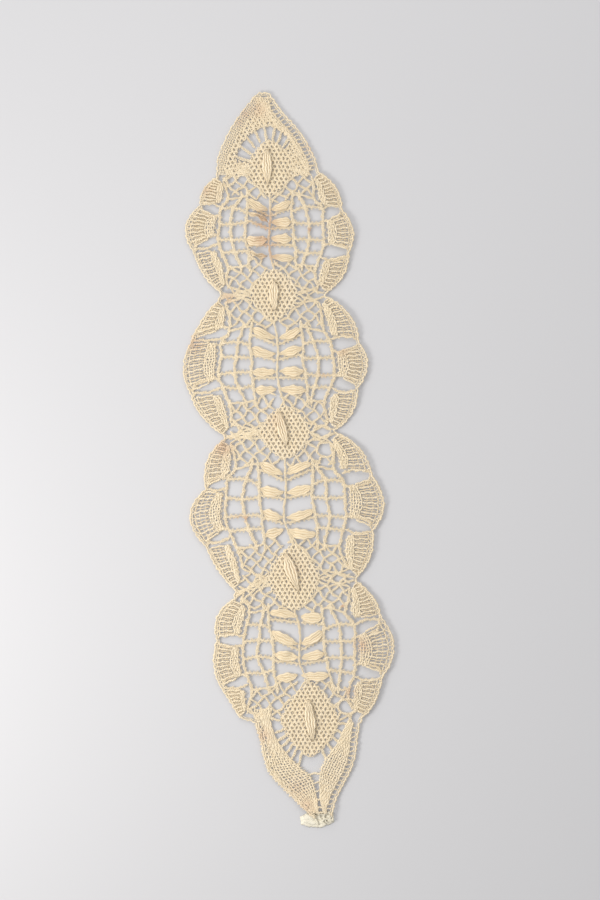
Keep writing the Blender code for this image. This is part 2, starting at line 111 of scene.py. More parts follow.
# Pairs of leaves: height at the vein and at both staves, then width and bow of the left and the
# right leaf in squares; a crumpled leaf is narrow, high and twisted by the last two columns.
leafRows = rows(
    ("lobe", "vein", "left", "right", "wideL", "wideR", "bowL", "bowR", "twistL", "twistR"),
    (0, 20, 30, 28, 8, 8, 1.5, 1, 0.2, 0.2), (0, 7, 16, 8, 6, 9, -2, 0.5, 0.9, 0.1),
    (0, -9, -9, -9, 11, 9, 2.5, 0, 0.5, 0.0), (0, -26, -21, -28, 6.5, 7.5, 2.5, 0.5, 0.9, 0.2),
    (1, 27, 37, 37, 8, 8.5, 1, 1.5, 0.2, 0.3), (1, 11, 17, 17, 9, 9, 2, 0.5, 0.1, 0.2),
    (1, -7, -7, -7, 9, 9.5, 0.5, 0, 0.1, 0.1), (1, -24, -25, -25, 9, 9, 1, 0.5, 0.2, 0.2),
    (2, 31, 42, 42, 9, 8.5, 1, -1, 0.1, 0.3), (2, 13, 16, 18, 10, 10, 1.5, 1.5, 0.1, 0.0),
    (2, -13, -6, -5, 10, 9, 1.5, 2, 0.1, 0.3), (2, -25, -30, -30, 10, 10, 1, 1.5, 0.1, 0.2),
    (3, 32, 35, 30, 8.5, 11, -1, 1, 0.4, 0.1), (3, 4, 17, 17, 10, 9.5, 1, 1.5, 0.3, 0.3),
    (3, -10, -6, -5, 11, 9.5, 0, 0, 0.4, 0.1), (3, -27, -30, -28, 9, 9.5, 1.5, 1, 0.2, 0.2))

# the raised leaves, from tip to tip
petalRows = rows(
    ("topX", "topY", "lowX", "lowY", "width"),
    (-21.5, 311, -20, 275, 8),
    (-14, 180, -12.5, 148, 8),
    (-10, 49, -1.5, 13, 8),
    (-2, -92, 11, -132, 9),
    (20, -239, 25.5, -280, 9))

# both sides of the two ends, by height
topEdge = rows(
    ("left", "right", "y"),
    (-71, 28.5, 299), (-67, 22, 312), (-60, 13, 327), (-51, 1, 341), (-43, -9, 353),
    (-35, -15, 362), (-29, -20, 367))
lowEdge = rows(
    ("left", "right", "y"),
    (-33, 72.5, -263), (-28, 69.5, -280), (-24, 67, -298), (-20, 63, -311),
    (-10, 56, -323), (3, 49.5, -336), (15, 46, -348), (26, 44, -358), (33, 39.5, -366))

# Stains of age: place, reach and strength.
stains = rows(
    ("x", "y", "reach", "strength"),
    (-23, 238, 12, 1.0), (-19, 209, 10, 1.0), (-26, 224, 10, 0.7), (-43, 346, 4, 0.6), (-48, 337, 4, 0.5),
    (-93, 116, 8, 0.7), (-65, 12, 9, 0.8), (-83, 270, 6, 0.5), (19, -345, 8, 0.5), (9, -327, 9, 0.3),
    (-25, -275, 7, 0.6), (73, -185, 7, 0.8), (62, -232, 5, 0.8), (22, 312, 6, 0.4),
    (-60, 162, 6, 0.6), (-52, -60, 5, 0.5), (-30, 350, 8, 0.5), (55, 108, 6, 0.5),
    (55, -146, 1.1, 3.0), (22, 230, 1.8, 2.0), (-42, -58, 1.6, 2.0), (36, 86, 5, 0.5),
    (-13, 40, 9, 0.25), (8, -110, 8, 0.2), (-46, -60, 4, 0.6))

handwork = {
    "pin": 0.95,            # squares that a pin is off its place
    "drift": 0.55,          # squares that the net strays over a few centimetres
    "jitter": 0.28,         # the same over a few millimetres
    "lift": 1.1,            # squares that the cloth stands off the table in places
    "crossing": 0.42,       # squares that a thread rises and falls where others cross it
}


def smoothLine(points, parts):
    # through every point: each stretch is a cubic whose slopes come from its neighbours
    points = np.asarray(points, float)
    padded = np.vstack((2 * points[0] - points[1], points, 2 * points[-1] - points[-2]))
    p0, p1, p2, p3 = padded[:-3, None], padded[1:-2, None], padded[2:-1, None], padded[3:, None]
    t = (np.arange(parts) / parts)[None, :, None]
    bend = 2 * p0 - 5 * p1 + 4 * p2 - p3 + t * (3 * (p1 - p2) + p3 - p0)
    curve = p1 + 0.5 * t * (p2 - p0 + t * bend)
    return np.vstack((curve.reshape(-1, points.shape[1]), points[-1]))


def evenLine(points, step, least=4):
    # the same line with points an even step apart
    points = np.asarray(points, float)
    along = np.concatenate(([0], np.cumsum(np.linalg.norm(np.diff(points, axis=0), axis=1))))
    count = max(int(round(along[-1] / step)), least) + 1
    at = np.linspace(0, along[-1], count)
    return np.stack([np.interp(at, along, points[:, k]) for k in range(points.shape[1])], 1)


def atPlaces(line, places):
    # the flat points of a line at fractional places in its list
    return np.stack([np.interp(places, np.arange(len(line)), line[:, k]) for k in (0, 1)], 1)


def atHeight(flat, height):
    # flat points with a height as their third coordinate
    height = np.broadcast_to(np.asarray(height, float), np.shape(flat)[:-1])
    return np.concatenate((flat, height[..., None]), -1)


def unit(vectors):
    # the same directions with length one
    return vectors / (np.linalg.norm(vectors, axis=-1, keepdims=True) + 1e-9)


def onLobe(lobe, side, x, y):
    # a place on the paper from x outward and y upward of a lobe's middle
    return np.array((lobe["x"] + side * x, lobe["y"] + y))


def swollen(start, stop, swell, side):
    # along a chord that swells outward by a parabola
    share = np.linspace(0, 1, paper["archPins"])[:, None]
    along = stop - start
    outward = np.array((along[1], -along[0])) * -side / np.linalg.norm(along)
    return start + along * share + outward * swell * 4 * share * (1 - share)


def halfFrame(row):
    # pins of half a lobe in ten rows from rhombus to rhombus, one on each of staves 1 to 3, and its scallops
    lobe, side, order = lobes[row["lobe"]], row["side"], row["lobe"]
    above, below = diamonds[order], diamonds[order + 1]
    reach = "left" if side < 0 else "right"
    rise, fall = above["y"] - lobe["y"], lobe["y"] - below["y"]
    cornerTop = np.array((above["x"] + side * above[reach], above["y"]))
    cornerLow = np.array((below["x"] + side * below[reach], below["y"]))
    waistTop, waistLow = row["topX"] - 7, row["lowX"] - 7
    innerTop = onLobe(lobe, side, waistTop, min(row["topY"], 0.93 * rise) - 4)
    innerLow = onLobe(lobe, side, waistLow, 4 - min(-row["lowY"], 0.93 * fall))
    pins = [(cornerTop, cornerTop * 0.6 + innerTop * 0.4, innerTop)]
    for line in netRows:
        upward = line["high1"] > 0
        tall = rise if upward else fall
        corner, waist = (cornerTop, waistTop) if upward else (cornerLow, waistLow)
        pull = abs(line["high1"])
        x1 = row["stave1"] * (1 - pull) + side * (corner[0] - lobe["x"]) * pull
        pull = line["high3"] ** 2
        x3 = row["stave3"] * line["wide3"] + (waist - row["stave3"] * 0.88) * pull
        share = (row["stave2"] - row["stave1"]) / (row["stave3"] - row["stave1"])
        x2 = x1 + (x3 - x1) * share * line["wide2"]
        pins.append((onLobe(lobe, side, x1, line["high1"] * tall),
                     onLobe(lobe, side, x2, line["high2"] * tall),
                     onLobe(lobe, side, x3, line["high3"] * tall)))
    pins.append((cornerLow, cornerLow * 0.6 + innerLow * 0.4, innerLow))
    pins = np.array(pins)
    hand = np.random.default_rng(11 + 2 * row["lobe"] + (side > 0))
    pins[1:-1] += np.clip(hand.normal(0, handwork["pin"], pins[1:-1].shape), -1.6, 1.6)
    keys = ("top", "notch1", "notch2", "low")
    places = [onLobe(lobe, side, row[key + "X"], row[key + "Y"]) for key in keys]
    edge = [swollen(a, b, row["swell%d" % k], side) for k, a, b in zip((1, 2, 3), places, places[1:])]
    return {"row": row, "lobe": lobe, "side": side, "pins": pins, "edge": edge,
            "top": places[0], "notches": places[1:3], "low": places[3]}


def centreOf(diamond):
    # the middle of a rhombus on the paper
    return np.array((diamond["x"], diamond["y"]), float)


def diamondEdge(diamond, bearing, grow=0.0):
    # the rounded rhombus: a power of 1.45 between straight sides and an ellipse
    c, s = np.cos(bearing), np.sin(bearing)
    wide = np.where(c > 0, diamond["right"], diamond["left"])
    tall = np.where(s > 0, diamond["up"], diamond["down"])
    radius = ((np.abs(c) / wide) ** 1.45 + (np.abs(s) / tall) ** 1.45) ** (-1 / 1.45)
    return np.stack((diamond["x"] + (radius + grow) * c, diamond["y"] + (radius + grow) * s), -1)


def longEdge(halves):
    # one long side from the top down: every arc without its last pin, then the foot of the lobe
    return np.vstack([np.vstack([arc[:-1] for arc in half["edge"]] + [half["low"]]) for half in halves])


def sideOf(table, key):
    # the points of one side of a table of heights
    return [(row[key], row["y"]) for row in table]


frames = [halfFrame(row) for row in halfLobes]      # of each lobe the left half, then the right one
lowTip = smoothLine(sideOf(lowEdge, "left") + sideOf(lowEdge, "right")[::-1], 3)
topTip = smoothLine(sideOf(topEdge, "right") + sideOf(topEdge, "left")[::-1], 3)
outline = np.vstack((longEdge(frames[0::2]), lowTip, longEdge(frames[1::2])[::-1], topTip))
print("pricking laid out:", len(frames), "half lobes,", len(outline), "edge pins")


def stray(points):
    # sums of slow and quick sines of the place, so that neighbouring threads stray together
    x, y = points[..., 0], points[..., 1]
    slowX = np.sin(0.093 * x + 0.051 * y + 1.1) * np.sin(0.071 * y - 0.2)
    slowY = np.sin(0.083 * y - 0.062 * x + 0.4) * np.sin(0.067 * x + 1.9)
    quickX = np.sin(0.53 * x + 0.41 * y) + np.sin(0.91 * y - 0.37 * x + 2.0)
    quickY = np.sin(0.47 * y - 0.59 * x + 0.8) + np.sin(0.83 * x + 0.29 * y + 1.0)
    slow, quick = np.stack((slowX, slowY), -1), np.stack((quickX, quickY), -1)
    return handwork["drift"] * slow + handwork["jitter"] * quick


def standing(points):
    # height of the cloth over the table: slow waves, a right edge that curls up by the square of its
    # distance from the middle, and the tape that lifts the low tip
    x, y = points[..., 0], points[..., 1]
    wave = 0.5 + 0.5 * np.sin(0.061 * x + 0.045 * y + 0.7) * np.sin(0.038 * y - 0.052 * x + 2.1)
    ripple = 0.18 * np.sin(0.33 * x - 0.21 * y) + 0.18 * np.sin(0.27 * y + 0.31 * x + 1.0)
    off = np.hypot(np.maximum(np.abs(x - 30) - 20, 0), np.maximum(np.abs(y + 360) - 10, 0))
    share = np.clip(1 - off / 18, 0, 1)
    raised = share * share * (3 - 2 * share)
    curl = 1.6 * np.clip((x - 3 + 0.072 * y) / 85, 0, 1) ** 2
    return (handwork["lift"] * wave ** 1.5 + 0.36 + ripple + curl) * (1 - raised) + 2.75 * raised


def toFrame(points):
    # from the leaning paper in squares to the upright frame in metres
    c, s = math.cos(paper["lean"]), math.sin(paper["lean"])
    flat = points[..., :2] + stray(points)
    u = flat[..., 0] * c + flat[..., 1] * s
    v = flat[..., 1] * c - flat[..., 0] * s
    z = points[..., 2] + standing(points)
    made = np.stack((u, v, z), -1) * paper["square"]
    return made - np.array((*paper["middle"], 0.0))


def stainAt(points):
    # a round fading patch for every row of the table
    total = np.zeros(points.shape[:-1])
    for row in stains:
        off = np.hypot(points[..., 0] - row["x"], points[..., 1] - row["y"]) / row["reach"]
        total += row["strength"] * np.exp(-off ** 2)
    return np.clip(total, 0, 1)


def newCloth(trim=None):
    # the arrays of one mesh, with the mesh that takes its edging
    lists = ("verts", "quads", "caps", "quadUv", "capUv", "tone", "stain")
    return {"trim": trim, "count": 0, **{key: [] for key in lists}}


def store(cloth, ring, quads, caps, quadUv, capUv, tone):
    # one more set of points and faces, with the points moved from the paper to the frame
    cloth["verts"].append(toFrame(ring).reshape(-1, 3))
    cloth["quads"].append(quads.reshape(-1, 4))
    cloth["caps"].append(caps)
    cloth["quadUv"].append(quadUv.reshape(-1, 2))
    cloth["capUv"].append(capUv.reshape(-1, 2))
    cloth["tone"].append(tone.ravel())
    cloth["stain"].append(stainAt(ring).ravel())
    cloth["count"] += ring.size // 3


def addTubes(cloth, paths, radius, sides=4, tone=None):
    # a ring of points carried along each path: centre + radius (cos a · side + sin a · up)
    paths = np.asarray(paths, float)
    if paths.ndim == 2:
        paths = paths[None]
    n, p = paths.shape[:2]
    ahead = unit(np.gradient(paths, axis=1))
    side = unit(np.stack((ahead[..., 1], -ahead[..., 0], np.zeros((n, p))), -1))
    up = np.cross(side, ahead)
    size = np.full((n, p), float(radius))
    size[:, [0, -1]] *= 0.55
    a = np.arange(sides) * 2 * math.pi / sides + 0.3
    ring = paths[:, :, None] + size[..., None, None] * (
        np.cos(a)[:, None] * side[:, :, None] + np.sin(a)[:, None] * up[:, :, None])
    ids = cloth["count"] + np.arange(n * p * sides).reshape(n, p, sides)
    nextId = np.roll(ids, -1, axis=2)
    quads = np.stack((ids[:, :-1], ids[:, 1:], nextId[:, 1:], nextId[:, :-1]), -1)
    along = np.cumsum(np.linalg.norm(np.diff(paths, axis=1, prepend=paths[:, :1]), axis=2), 1)
    along = along[:, :, None] * np.ones(sides)
    around = np.broadcast_to(np.arange(sides) / sides, (n, p, sides))
    u = np.stack((along[:, :-1], along[:, 1:], along[:, 1:], along[:, :-1]), -1)
    v = np.stack((around[:, :-1], around[:, 1:], around[:, 1:] + 1 / sides, around[:, :-1] + 1 / sides), -1)
    caps = np.concatenate((ids[:, 0], ids[:, -1, ::-1]))
    capUv = np.stack((np.zeros(caps.shape), np.full(caps.shape, 0.5)), -1)
    if tone is None:
        tone = np.random.default_rng(cloth["count"] + 7).uniform(0.5, 0.95, n)
    tone = np.reshape(tone, (-1, 1)) * np.ones((n, p * sides))
    store(cloth, ring, quads, caps, np.stack((u, v), -1), capUv, tone)


def addShell(cloth, ring, u, v, vNext, tone):
    # a closed shell: faces between each ring of points and the next, and a cap at both ends
    n, m = ring.shape[:2]
    ids = cloth["count"] + np.arange(n * m).reshape(n, m)
    nextId = np.roll(ids, -1, axis=1)
    quads = np.stack((ids[:-1], nextId[:-1], nextId[1:], ids[1:]), -1)
    corners = (u[:-1], v[:-1]), (u[:-1], vNext[:-1]), (u[1:], vNext[1:]), (u[1:], v[1:])
    quadUv = np.stack([np.stack(corner, -1) for corner in corners], 2)
    store(cloth, ring, quads, np.stack((ids[0, ::-1], ids[-1])), quadUv, np.full((2, m, 2), 0.5), tone)


def besideOf(line):
    # unit vectors to the right of a flat line
    ahead = unit(np.gradient(line[:, :2], axis=0))
    return np.stack((ahead[:, 1], -ahead[:, 0]), 1)


plait, thinPlait, pair, legPair, edgeCord, netPair, stitch = rows(
    ("strands", "spread", "thread", "pitch", "sides"),
    (3, 1.0, 0.56, 7.6, 4), (3, 0.78, 0.5, 6.4, 4), (2, 0.42, 0.46, 4.2, 4), (2, 0.46, 0.72, 4.4, 4),
    (2, 0.46, 0.62, 5.2, 5), (2, 0.4, 0.68, 4.5, 4), (2, 0.5, 0.55, 4.0, 4))
picot = {"radius": 0.72, "height": 1.3, "thread": 0.42}


def addCord(cloth, line, kind, height=1.2, phase=0.0):
    # strands along a line, each a part of a turn behind the last: two twist by across = spread · cos t and
    # up = spread · sin t, three are plaited by across = spread · sin t and up = crossing · sin 2t
    isPlait = kind["strands"] == 3
    steps = 8 if isPlait else 6
    line = evenLine(line, kind["pitch"] / steps)
    order = np.arange(len(line))
    behind = np.arange(kind["strands"])[:, None] / kind["strands"]
    t = (order / steps + behind) * 2 * math.pi + phase
    if isPlait:
        ends = np.clip(np.minimum(order, order[::-1]) / 3, 0.45, 1)
        across, up = kind["spread"] * ends * np.sin(t), handwork["crossing"] * np.sin(2 * t)
    else:
        across, up = kind["spread"] * np.cos(t), kind["spread"] * np.sin(t)
    flat = line[:, :2] + besideOf(line) * across[..., None]
    addTubes(cloth, atHeight(flat, height + up), kind["thread"], kind["sides"])


def addPicots(cloth, line, every=4.6, reach=1.5):
    # small loops that stand off both sides of a plait by turns: each is three quarters of a circle
    line = evenLine(line, every / 2)[1:-1]
    if len(line) < 2:
        return
    order = np.arange(len(line))
    beside = besideOf(line)
    ahead = np.stack((-beside[:, 1], beside[:, 0]), 1)
    outward = beside * np.where(order % 2, 1.0, -1.0)[:, None]
    a = np.linspace(-0.75 * math.pi, 0.75 * math.pi, 6)
    loops = (line[:, :2] + outward * reach)[:, None] + picot["radius"] * (
        np.cos(a)[:, None] * outward[:, None] + np.sin(a)[:, None] * ahead[:, None])
    up = picot["height"] + 0.25 * np.sin(order * 2.3)[:, None] * np.cos(a)
    addTubes(cloth["trim"] or cloth, atHeight(loops, up), picot["thread"])


def addWeave(cloth, inner, outer, warps, wefts, thread, height, loose):
    # cloth stitch on a strip between two lines: warps run along it, wefts across it, and each
    # goes over and under by a wave that changes sign at every crossing
    rise, stops = handwork["crossing"], np.arange(2 * wefts + 1)
    lineA, lineB = (atPlaces(line, stops / (2 * wefts) * (len(line) - 1)) for line in (inner, outer))
    hand = np.random.default_rng(cloth["count"])
    flat = lineA + (lineB - lineA) * ((np.arange(warps) + 0.5) / warps)[:, None, None]
    flat = flat + loose * hand.normal(0, 1, flat.shape) * 0.5
    wave = np.sin(stops * math.pi / 2) * np.where(np.arange(warps) % 2, 1, -1)[:, None]
    addTubes(cloth, atHeight(flat, height + rise * wave), thread)
    spots = stops[1::2]
    steps = np.arange(2 * warps + 1)
    reach = steps / (2 * warps)
    reach[0], reach[-1] = -0.3 / warps, 1 + 0.3 / warps
    a, b = lineA[spots][:, None], lineB[spots][:, None]
    cross = a + (b - a) * reach[:, None]
    cross = cross + loose * hand.normal(0, 1, cross.shape) * 0.5
    weft = height - rise * np.sin(steps * math.pi / 2) * np.sin(spots * math.pi / 2)[:, None]
    addTubes(cloth, atHeight(cross, weft), thread * 0.9)


# tone: the raised leaves' 1.05 against the flat leaves' 0.85 is painted light, as their yarn is the same
flatLeaf, raisedLeaf = rows(
    ("high", "foot", "stations", "ridges", "tone", "blunt"),
    (2.1, 0.4, 32, 4, 0.85, True), (3.6, 2.6, 48, 4, 1.05, False))


def addLeaf(cloth, start, stop, wide, bow, twist, kind):
    # a woven leaf: half width = wide/2 · t^0.65 · (1 - t^2.6)^0.75, or sin(pi t^0.9)^0.78 for one with two
    # points; crown = 1 - 0.5 s^2, with furrows of cos(ridges · pi · s) and ribs where the weaver turns
    start, stop = np.asarray(start, float), np.asarray(stop, float)
    along = stop - start
    length = np.linalg.norm(along)
    beside = np.array((along[1], -along[0])) / length
    t = np.linspace(0.012, 0.988, kind["stations"])[:, None]
    top = np.sin(np.linspace(-math.pi / 2, math.pi / 2, 21)[:-1])
    s = np.concatenate((top, np.array((1.0, 0.45, -0.45, -1.0)) * 0.96))
    m, ridges = len(s), kind["ridges"]
    isTop = np.arange(m) < len(top)
    if kind["blunt"]:
        swell = t ** 0.65 * (1 - t ** 2.6) ** 0.75 / 0.575
    else:
        swell = np.sin(math.pi * t ** 0.9) ** 0.78
    swell = swell * (1 + 0.07 * np.sin(9 * t + start[0]))
    furrow = (0.5 + 0.5 * np.cos(2 * math.pi * ridges * (s + 1) / 2 + math.pi)) ** 0.6
    rib = np.sin(t * length * 2.6 + np.where(np.floor((s + 1) * ridges) % 2, 0, math.pi))
    crown = (1 - 0.5 * s ** 2) * (0.1 + 0.9 * furrow) + 0.07 * rib * furrow
    z = kind["foot"] + np.where(isTop, 0.4 + kind["high"] * crown * (0.35 + 0.65 * swell), 0.1)
    turn = twist * np.sin(math.pi * (t - 0.3) * 1.6) * 1.1
    half = s * wide / 2 * swell
    lean = half * np.sin(turn)
    raised = np.abs(lean) * 0.9 + lean * 0.4 + 0.9 * abs(twist) * np.sin(math.pi * t)
    z = z + np.where(isTop, 1, 0.6) * raised
    path = start + along * t + beside * (bow * np.sin(math.pi * t))
    ring = atHeight(path[:, None] + beside * (half * np.cos(turn))[..., None], z)
    around = np.broadcast_to(np.arange(m) / m, z.shape)
    # painted shade: the top's tone drops by 1.1 · (1 - furrow), so each furrow is painted darker than its
    # ridges
    toneAndShade = kind["tone"] - 1.1 * (1 - furrow) * isTop + 0.0 * t
    addShell(cloth, ring, t * length * np.ones(m), around, around + 1 / m, toneAndShade)


def addItem(name, data):
    # a new object in the scene
    item = bpy.data.objects.new(name, data)
    bpy.context.scene.collection.objects.link(item)
    return item


def makeMesh(name, cloth, material):
    # whole arrays into one mesh: points, corners, face starts, UV map and the attributes tone and stain
    verts = np.concatenate(cloth["verts"])
    quads = np.concatenate(cloth["quads"])
    corners = np.concatenate([quads.ravel()] + [ids.ravel() for ids in cloth["caps"]])
    capSizes = [np.full(len(ids), ids.shape[1]) for ids in cloth["caps"]]
    totals = np.concatenate([np.full(len(quads), 4)] + capSizes)
    uv = np.concatenate(cloth["quadUv"] + cloth["capUv"])
    starts = np.concatenate(([0], np.cumsum(totals)[:-1]))
    mesh = bpy.data.meshes.new(name)
    mesh.vertices.add(len(verts))
    mesh.vertices.foreach_set("co", verts.astype(np.float32).ravel())
    mesh.loops.add(len(corners))
    mesh.loops.foreach_set("vertex_index", corners.astype(np.int32))
    mesh.polygons.add(len(totals))
    mesh.polygons.foreach_set("loop_start", starts.astype(np.int32))
    mesh.update(calc_edges=True)
    layer = mesh.uv_layers.new(name="thread")
    layer.data.foreach_set("uv", (uv * (0.5, 1.0)).astype(np.float32).ravel())
    for key in ("tone", "stain"):
        values = mesh.attributes.new(key, "FLOAT", "POINT")
        values.data.foreach_set("value", np.concatenate(cloth[key]).astype(np.float32))
    mesh.validate()
    mesh.shade_smooth()
    mesh.materials.append(material)
    print(name, int(np.sum(totals - 2)), "triangles")
    return addItem(name, mesh)


def newGroup(name, inputs, outputs):
    # an empty node group with its named sockets
    group = bpy.data.node_groups.new(name, "ShaderNodeTree")
    for label, kind, value in inputs:
        socket = group.interface.new_socket(name=label, in_out="INPUT", socket_type=kind)
        socket.default_value = value
    for label, kind in outputs:
        group.interface.new_socket(name=label, in_out="OUTPUT", socket_type=kind)
    return group, group.nodes.new("NodeGroupInput"), group.nodes.new("NodeGroupOutput")


def setInputs(tree, node, values):
    # each input, by name or place, takes a plain value or a link from another node
    for key, value in values.items():
        if isinstance(value, bpy.types.NodeSocket):
            tree.links.new(value, node.inputs[key])
        else:
            node.inputs[key].default_value = value


def mathNode(tree, operation, a, b=0.5, clamp=False):
    # one step of arithmetic on values or sockets
    node = tree.nodes.new("ShaderNodeMath")
    node.operation = operation
    node.use_clamp = clamp
    setInputs(tree, node, {0: a, 1: b})
    return node.outputs[0]


def mixColour(tree, factor, a, b):
    # a · (1 - factor) + b · factor
    node = tree.nodes.new("ShaderNodeMix")
    node.data_type = "RGBA"
    setInputs(tree, node, {"Factor": factor, 6: a, 7: b})
    return node.outputs[2]


def noiseNode(tree, scale, detail):
    # cloudy noise by the place on the object
    place = tree.nodes.new("ShaderNodeTexCoord")
    node = tree.nodes.new("ShaderNodeTexNoise")
    setInputs(tree, node, {"Scale": scale, "Detail": detail, "Vector": place.outputs["Object"]})
    return node.outputs[0]


def attributeNode(tree, name):
    # a value that the mesh stores at each point
    node = tree.nodes.new("ShaderNodeAttribute")
    node.attribute_name = name
    return node.outputs["Fac"]


def makeYarnTwist():
    # ply lines that wind round a thread: sin(2 pi (length / pitch + plies · around)), with loose fibre noise
    group, given, out = newGroup("yarnTwist", [
        ("Pitch", "NodeSocketFloat", 1.0), ("Plies", "NodeSocketFloat", 2.0),
        ("Fibre", "NodeSocketFloat", 0.3)],
        [("Height", "NodeSocketFloat")])
    uv = group.nodes.new("ShaderNodeUVMap")
    uv.uv_map = "thread"
    split = group.nodes.new("ShaderNodeSeparateXYZ")
    group.links.new(uv.outputs[0], split.inputs[0])
    turn = mathNode(group, "ADD", mathNode(group, "DIVIDE", split.outputs[0], given.outputs["Pitch"]),
                    mathNode(group, "MULTIPLY", split.outputs[1], given.outputs["Plies"]))
    wave = mathNode(group, "SINE", mathNode(group, "MULTIPLY", turn, 2 * math.pi))
    wave = mathNode(group, "MULTIPLY", wave, 0.5)
    fuzz = mathNode(group, "MULTIPLY", noiseNode(group, 9000, 2), given.outputs["Fibre"])
    group.links.new(mathNode(group, "ADD", wave, fuzz), out.inputs["Height"])
    return group


def makeAgedCotton():
    # from the deep to the light tone of the yarn: a tone that differs at random by thread, and painted shade
    # where the tone is set low (leaf furrows, tape creases, the darker threads under fans and nets); cloudy
    # yellowing, then rust where the stains are
    group, given, out = newGroup("agedCotton", [
        ("Light", "NodeSocketColor", (1, 1, 1, 1)), ("Deep", "NodeSocketColor", (0.5, 0.5, 0.5, 1)),
        ("Yellow", "NodeSocketColor", (0.8, 0.7, 0.4, 1)), ("Rust", "NodeSocketColor", (0.6, 0.3, 0.2, 1)),
        ("Rust amount", "NodeSocketFloat", 0.5)],
        [("Color", "NodeSocketColor")])
    cloud, speck = noiseNode(group, 55, 4), noiseNode(group, 900, 3)
    mottle = mathNode(group, "MULTIPLY", mathNode(group, "SUBTRACT", speck, 0.5), 0.9)
    # the tone attribute carries both random thread tone and painted shade
    toneAndShade = mathNode(group, "ADD", attributeNode(group, "tone"), mottle, clamp=True)
    colour = mixColour(group, toneAndShade, given.outputs["Deep"], given.outputs["Light"])
    haze = mathNode(group, "MULTIPLY", mathNode(group, "SUBTRACT", cloud, 0.42), 2.4, clamp=True)
    colour = mixColour(group, mathNode(group, "MULTIPLY", haze, 0.5), colour, given.outputs["Yellow"])
    patch = mathNode(group, "MULTIPLY", attributeNode(group, "stain"),
                     mathNode(group, "ADD", mathNode(group, "MULTIPLY", speck, 1.2), 0.2))
    patch = mathNode(group, "MULTIPLY", patch, given.outputs["Rust amount"], clamp=True)
    colour = mixColour(group, patch, colour, given.outputs["Rust"])
    group.links.new(colour, out.inputs["Color"])
    return group


yarnTwist = makeYarnTwist()
agedCotton = makeAgedCotton()

ecru = {
    "Light": (0.74, 0.635, 0.463, 1), "Deep": (0.655, 0.52, 0.335, 1), "Yellow": (0.76, 0.635, 0.42, 1),
    "Rust": (0.50, 0.28, 0.17, 1), "Rust amount": 0.7,
    "Pitch": 0.9, "Plies": 2.0, "Fibre": 0.5, "bump": 0.00006, "roughness": 0.82, "sheen": 0.25,
}
petal = dict(ecru, Light=(0.81, 0.70, 0.52, 1), Yellow=(0.82, 0.69, 0.48, 1))      # the petals are closer work, but their yarn is the same: this lighter copy is painted light on the raised petals
tape = {
    "Light": (0.75, 0.70, 0.575, 1), "Deep": (0.68, 0.61, 0.46, 1), "Yellow": (0.76, 0.69, 0.53, 1),
    "Rust": (0.62, 0.42, 0.26, 1), "Rust amount": 0.3,
    "Pitch": 0.7, "Plies": 2.0, "Fibre": 0.5, "bump": 0.00005, "roughness": 0.8, "sheen": 0.2,
}


def placeGroup(tree, group, look):
    # a group inside a material, with this look's value in each of its inputs
    node = tree.nodes.new("ShaderNodeGroup")
    node.node_tree = group
    for socket in node.inputs:
        socket.default_value = look[socket.name]
    return node


def makeCotton(name, look):
    # matt cotton with a soft sheen, coloured by agedCotton and ridged by yarnTwist
    material = bpy.data.materials.new(name)
    material.use_nodes = True
    tree = material.node_tree
    shader = tree.nodes["Principled BSDF"]
    shader.inputs["Roughness"].default_value = look["roughness"]
    shader.inputs["Sheen Weight"].default_value = look["sheen"]
    shader.inputs["Sheen Roughness"].default_value = 0.5
    shader.inputs["Specular IOR Level"].default_value = 0.25
    colour = placeGroup(tree, agedCotton, look)
    tree.links.new(colour.outputs["Color"], shader.inputs["Base Color"])
    twist = placeGroup(tree, yarnTwist, look)
    bump = tree.nodes.new("ShaderNodeBump")
    bump.inputs["Distance"].default_value = look["bump"]
    bump.inputs["Strength"].default_value = 0.8
    tree.links.new(twist.outputs["Height"], bump.inputs["Height"])
    tree.links.new(bump.outputs[0], shader.inputs["Normal"])
    return material


ecruCotton = makeCotton("ecruCotton", ecru)
litPetalCotton = makeCotton("litPetalCotton", petal)
whiteTape = makeCotton("whiteTape", tape)

sectionNames = ("laceTopEnd", "laceLobe1", "laceLobe2", "laceLobe3", "laceLobe4", "laceLowEnd")
cloths = [newCloth(newCloth()) for _ in sectionNames]
sectionCuts = (279, 165, 28, -118, -262)       # paper heights where one section ends and the next starts


def sectionOf(y):
    # the number of cuts above a height
    return int(np.sum(np.asarray(sectionCuts) > y))


def onPath(path, y):
    # the point of a stave at a height, or at several; its pins run from the top down
    return np.stack((np.interp(y, path[::-1, 1], path[::-1, 0]), y), -1)


knot = {"arm": 3.1, "cut": 0.27, "height": 1.25, "thread": 0.6}


def addKnots(cloth, pins):
    # where a bar crosses a stave, threads cut each corner: from a to b by middle + cut · (a + b - 2 · middle)
    for j in range(2, 8):
        for k in range(3):
            middle = pins[j, k]
            arms = [pins[j - 1, k], pins[j, k + 1] if k < 2 else None, pins[j + 1, k],
                    pins[j, k - 1] if k > 0 else None]
            for one, other in zip(arms, arms[1:] + arms[:1]):
                if one is None or other is None:
                    continue
                a, b = (middle + unit(pin - middle) * knot["arm"] for pin in (one, other))
                line = smoothLine((a, middle + (a + b - 2 * middle) * knot["cut"], b), 3)
                addTubes(cloth["trim"], atHeight(line, knot["height"]), knot["thread"])


stave = {"stopAt": 0.64, "beadsEvery": 9.0, "barBeadsEvery": 4.2}


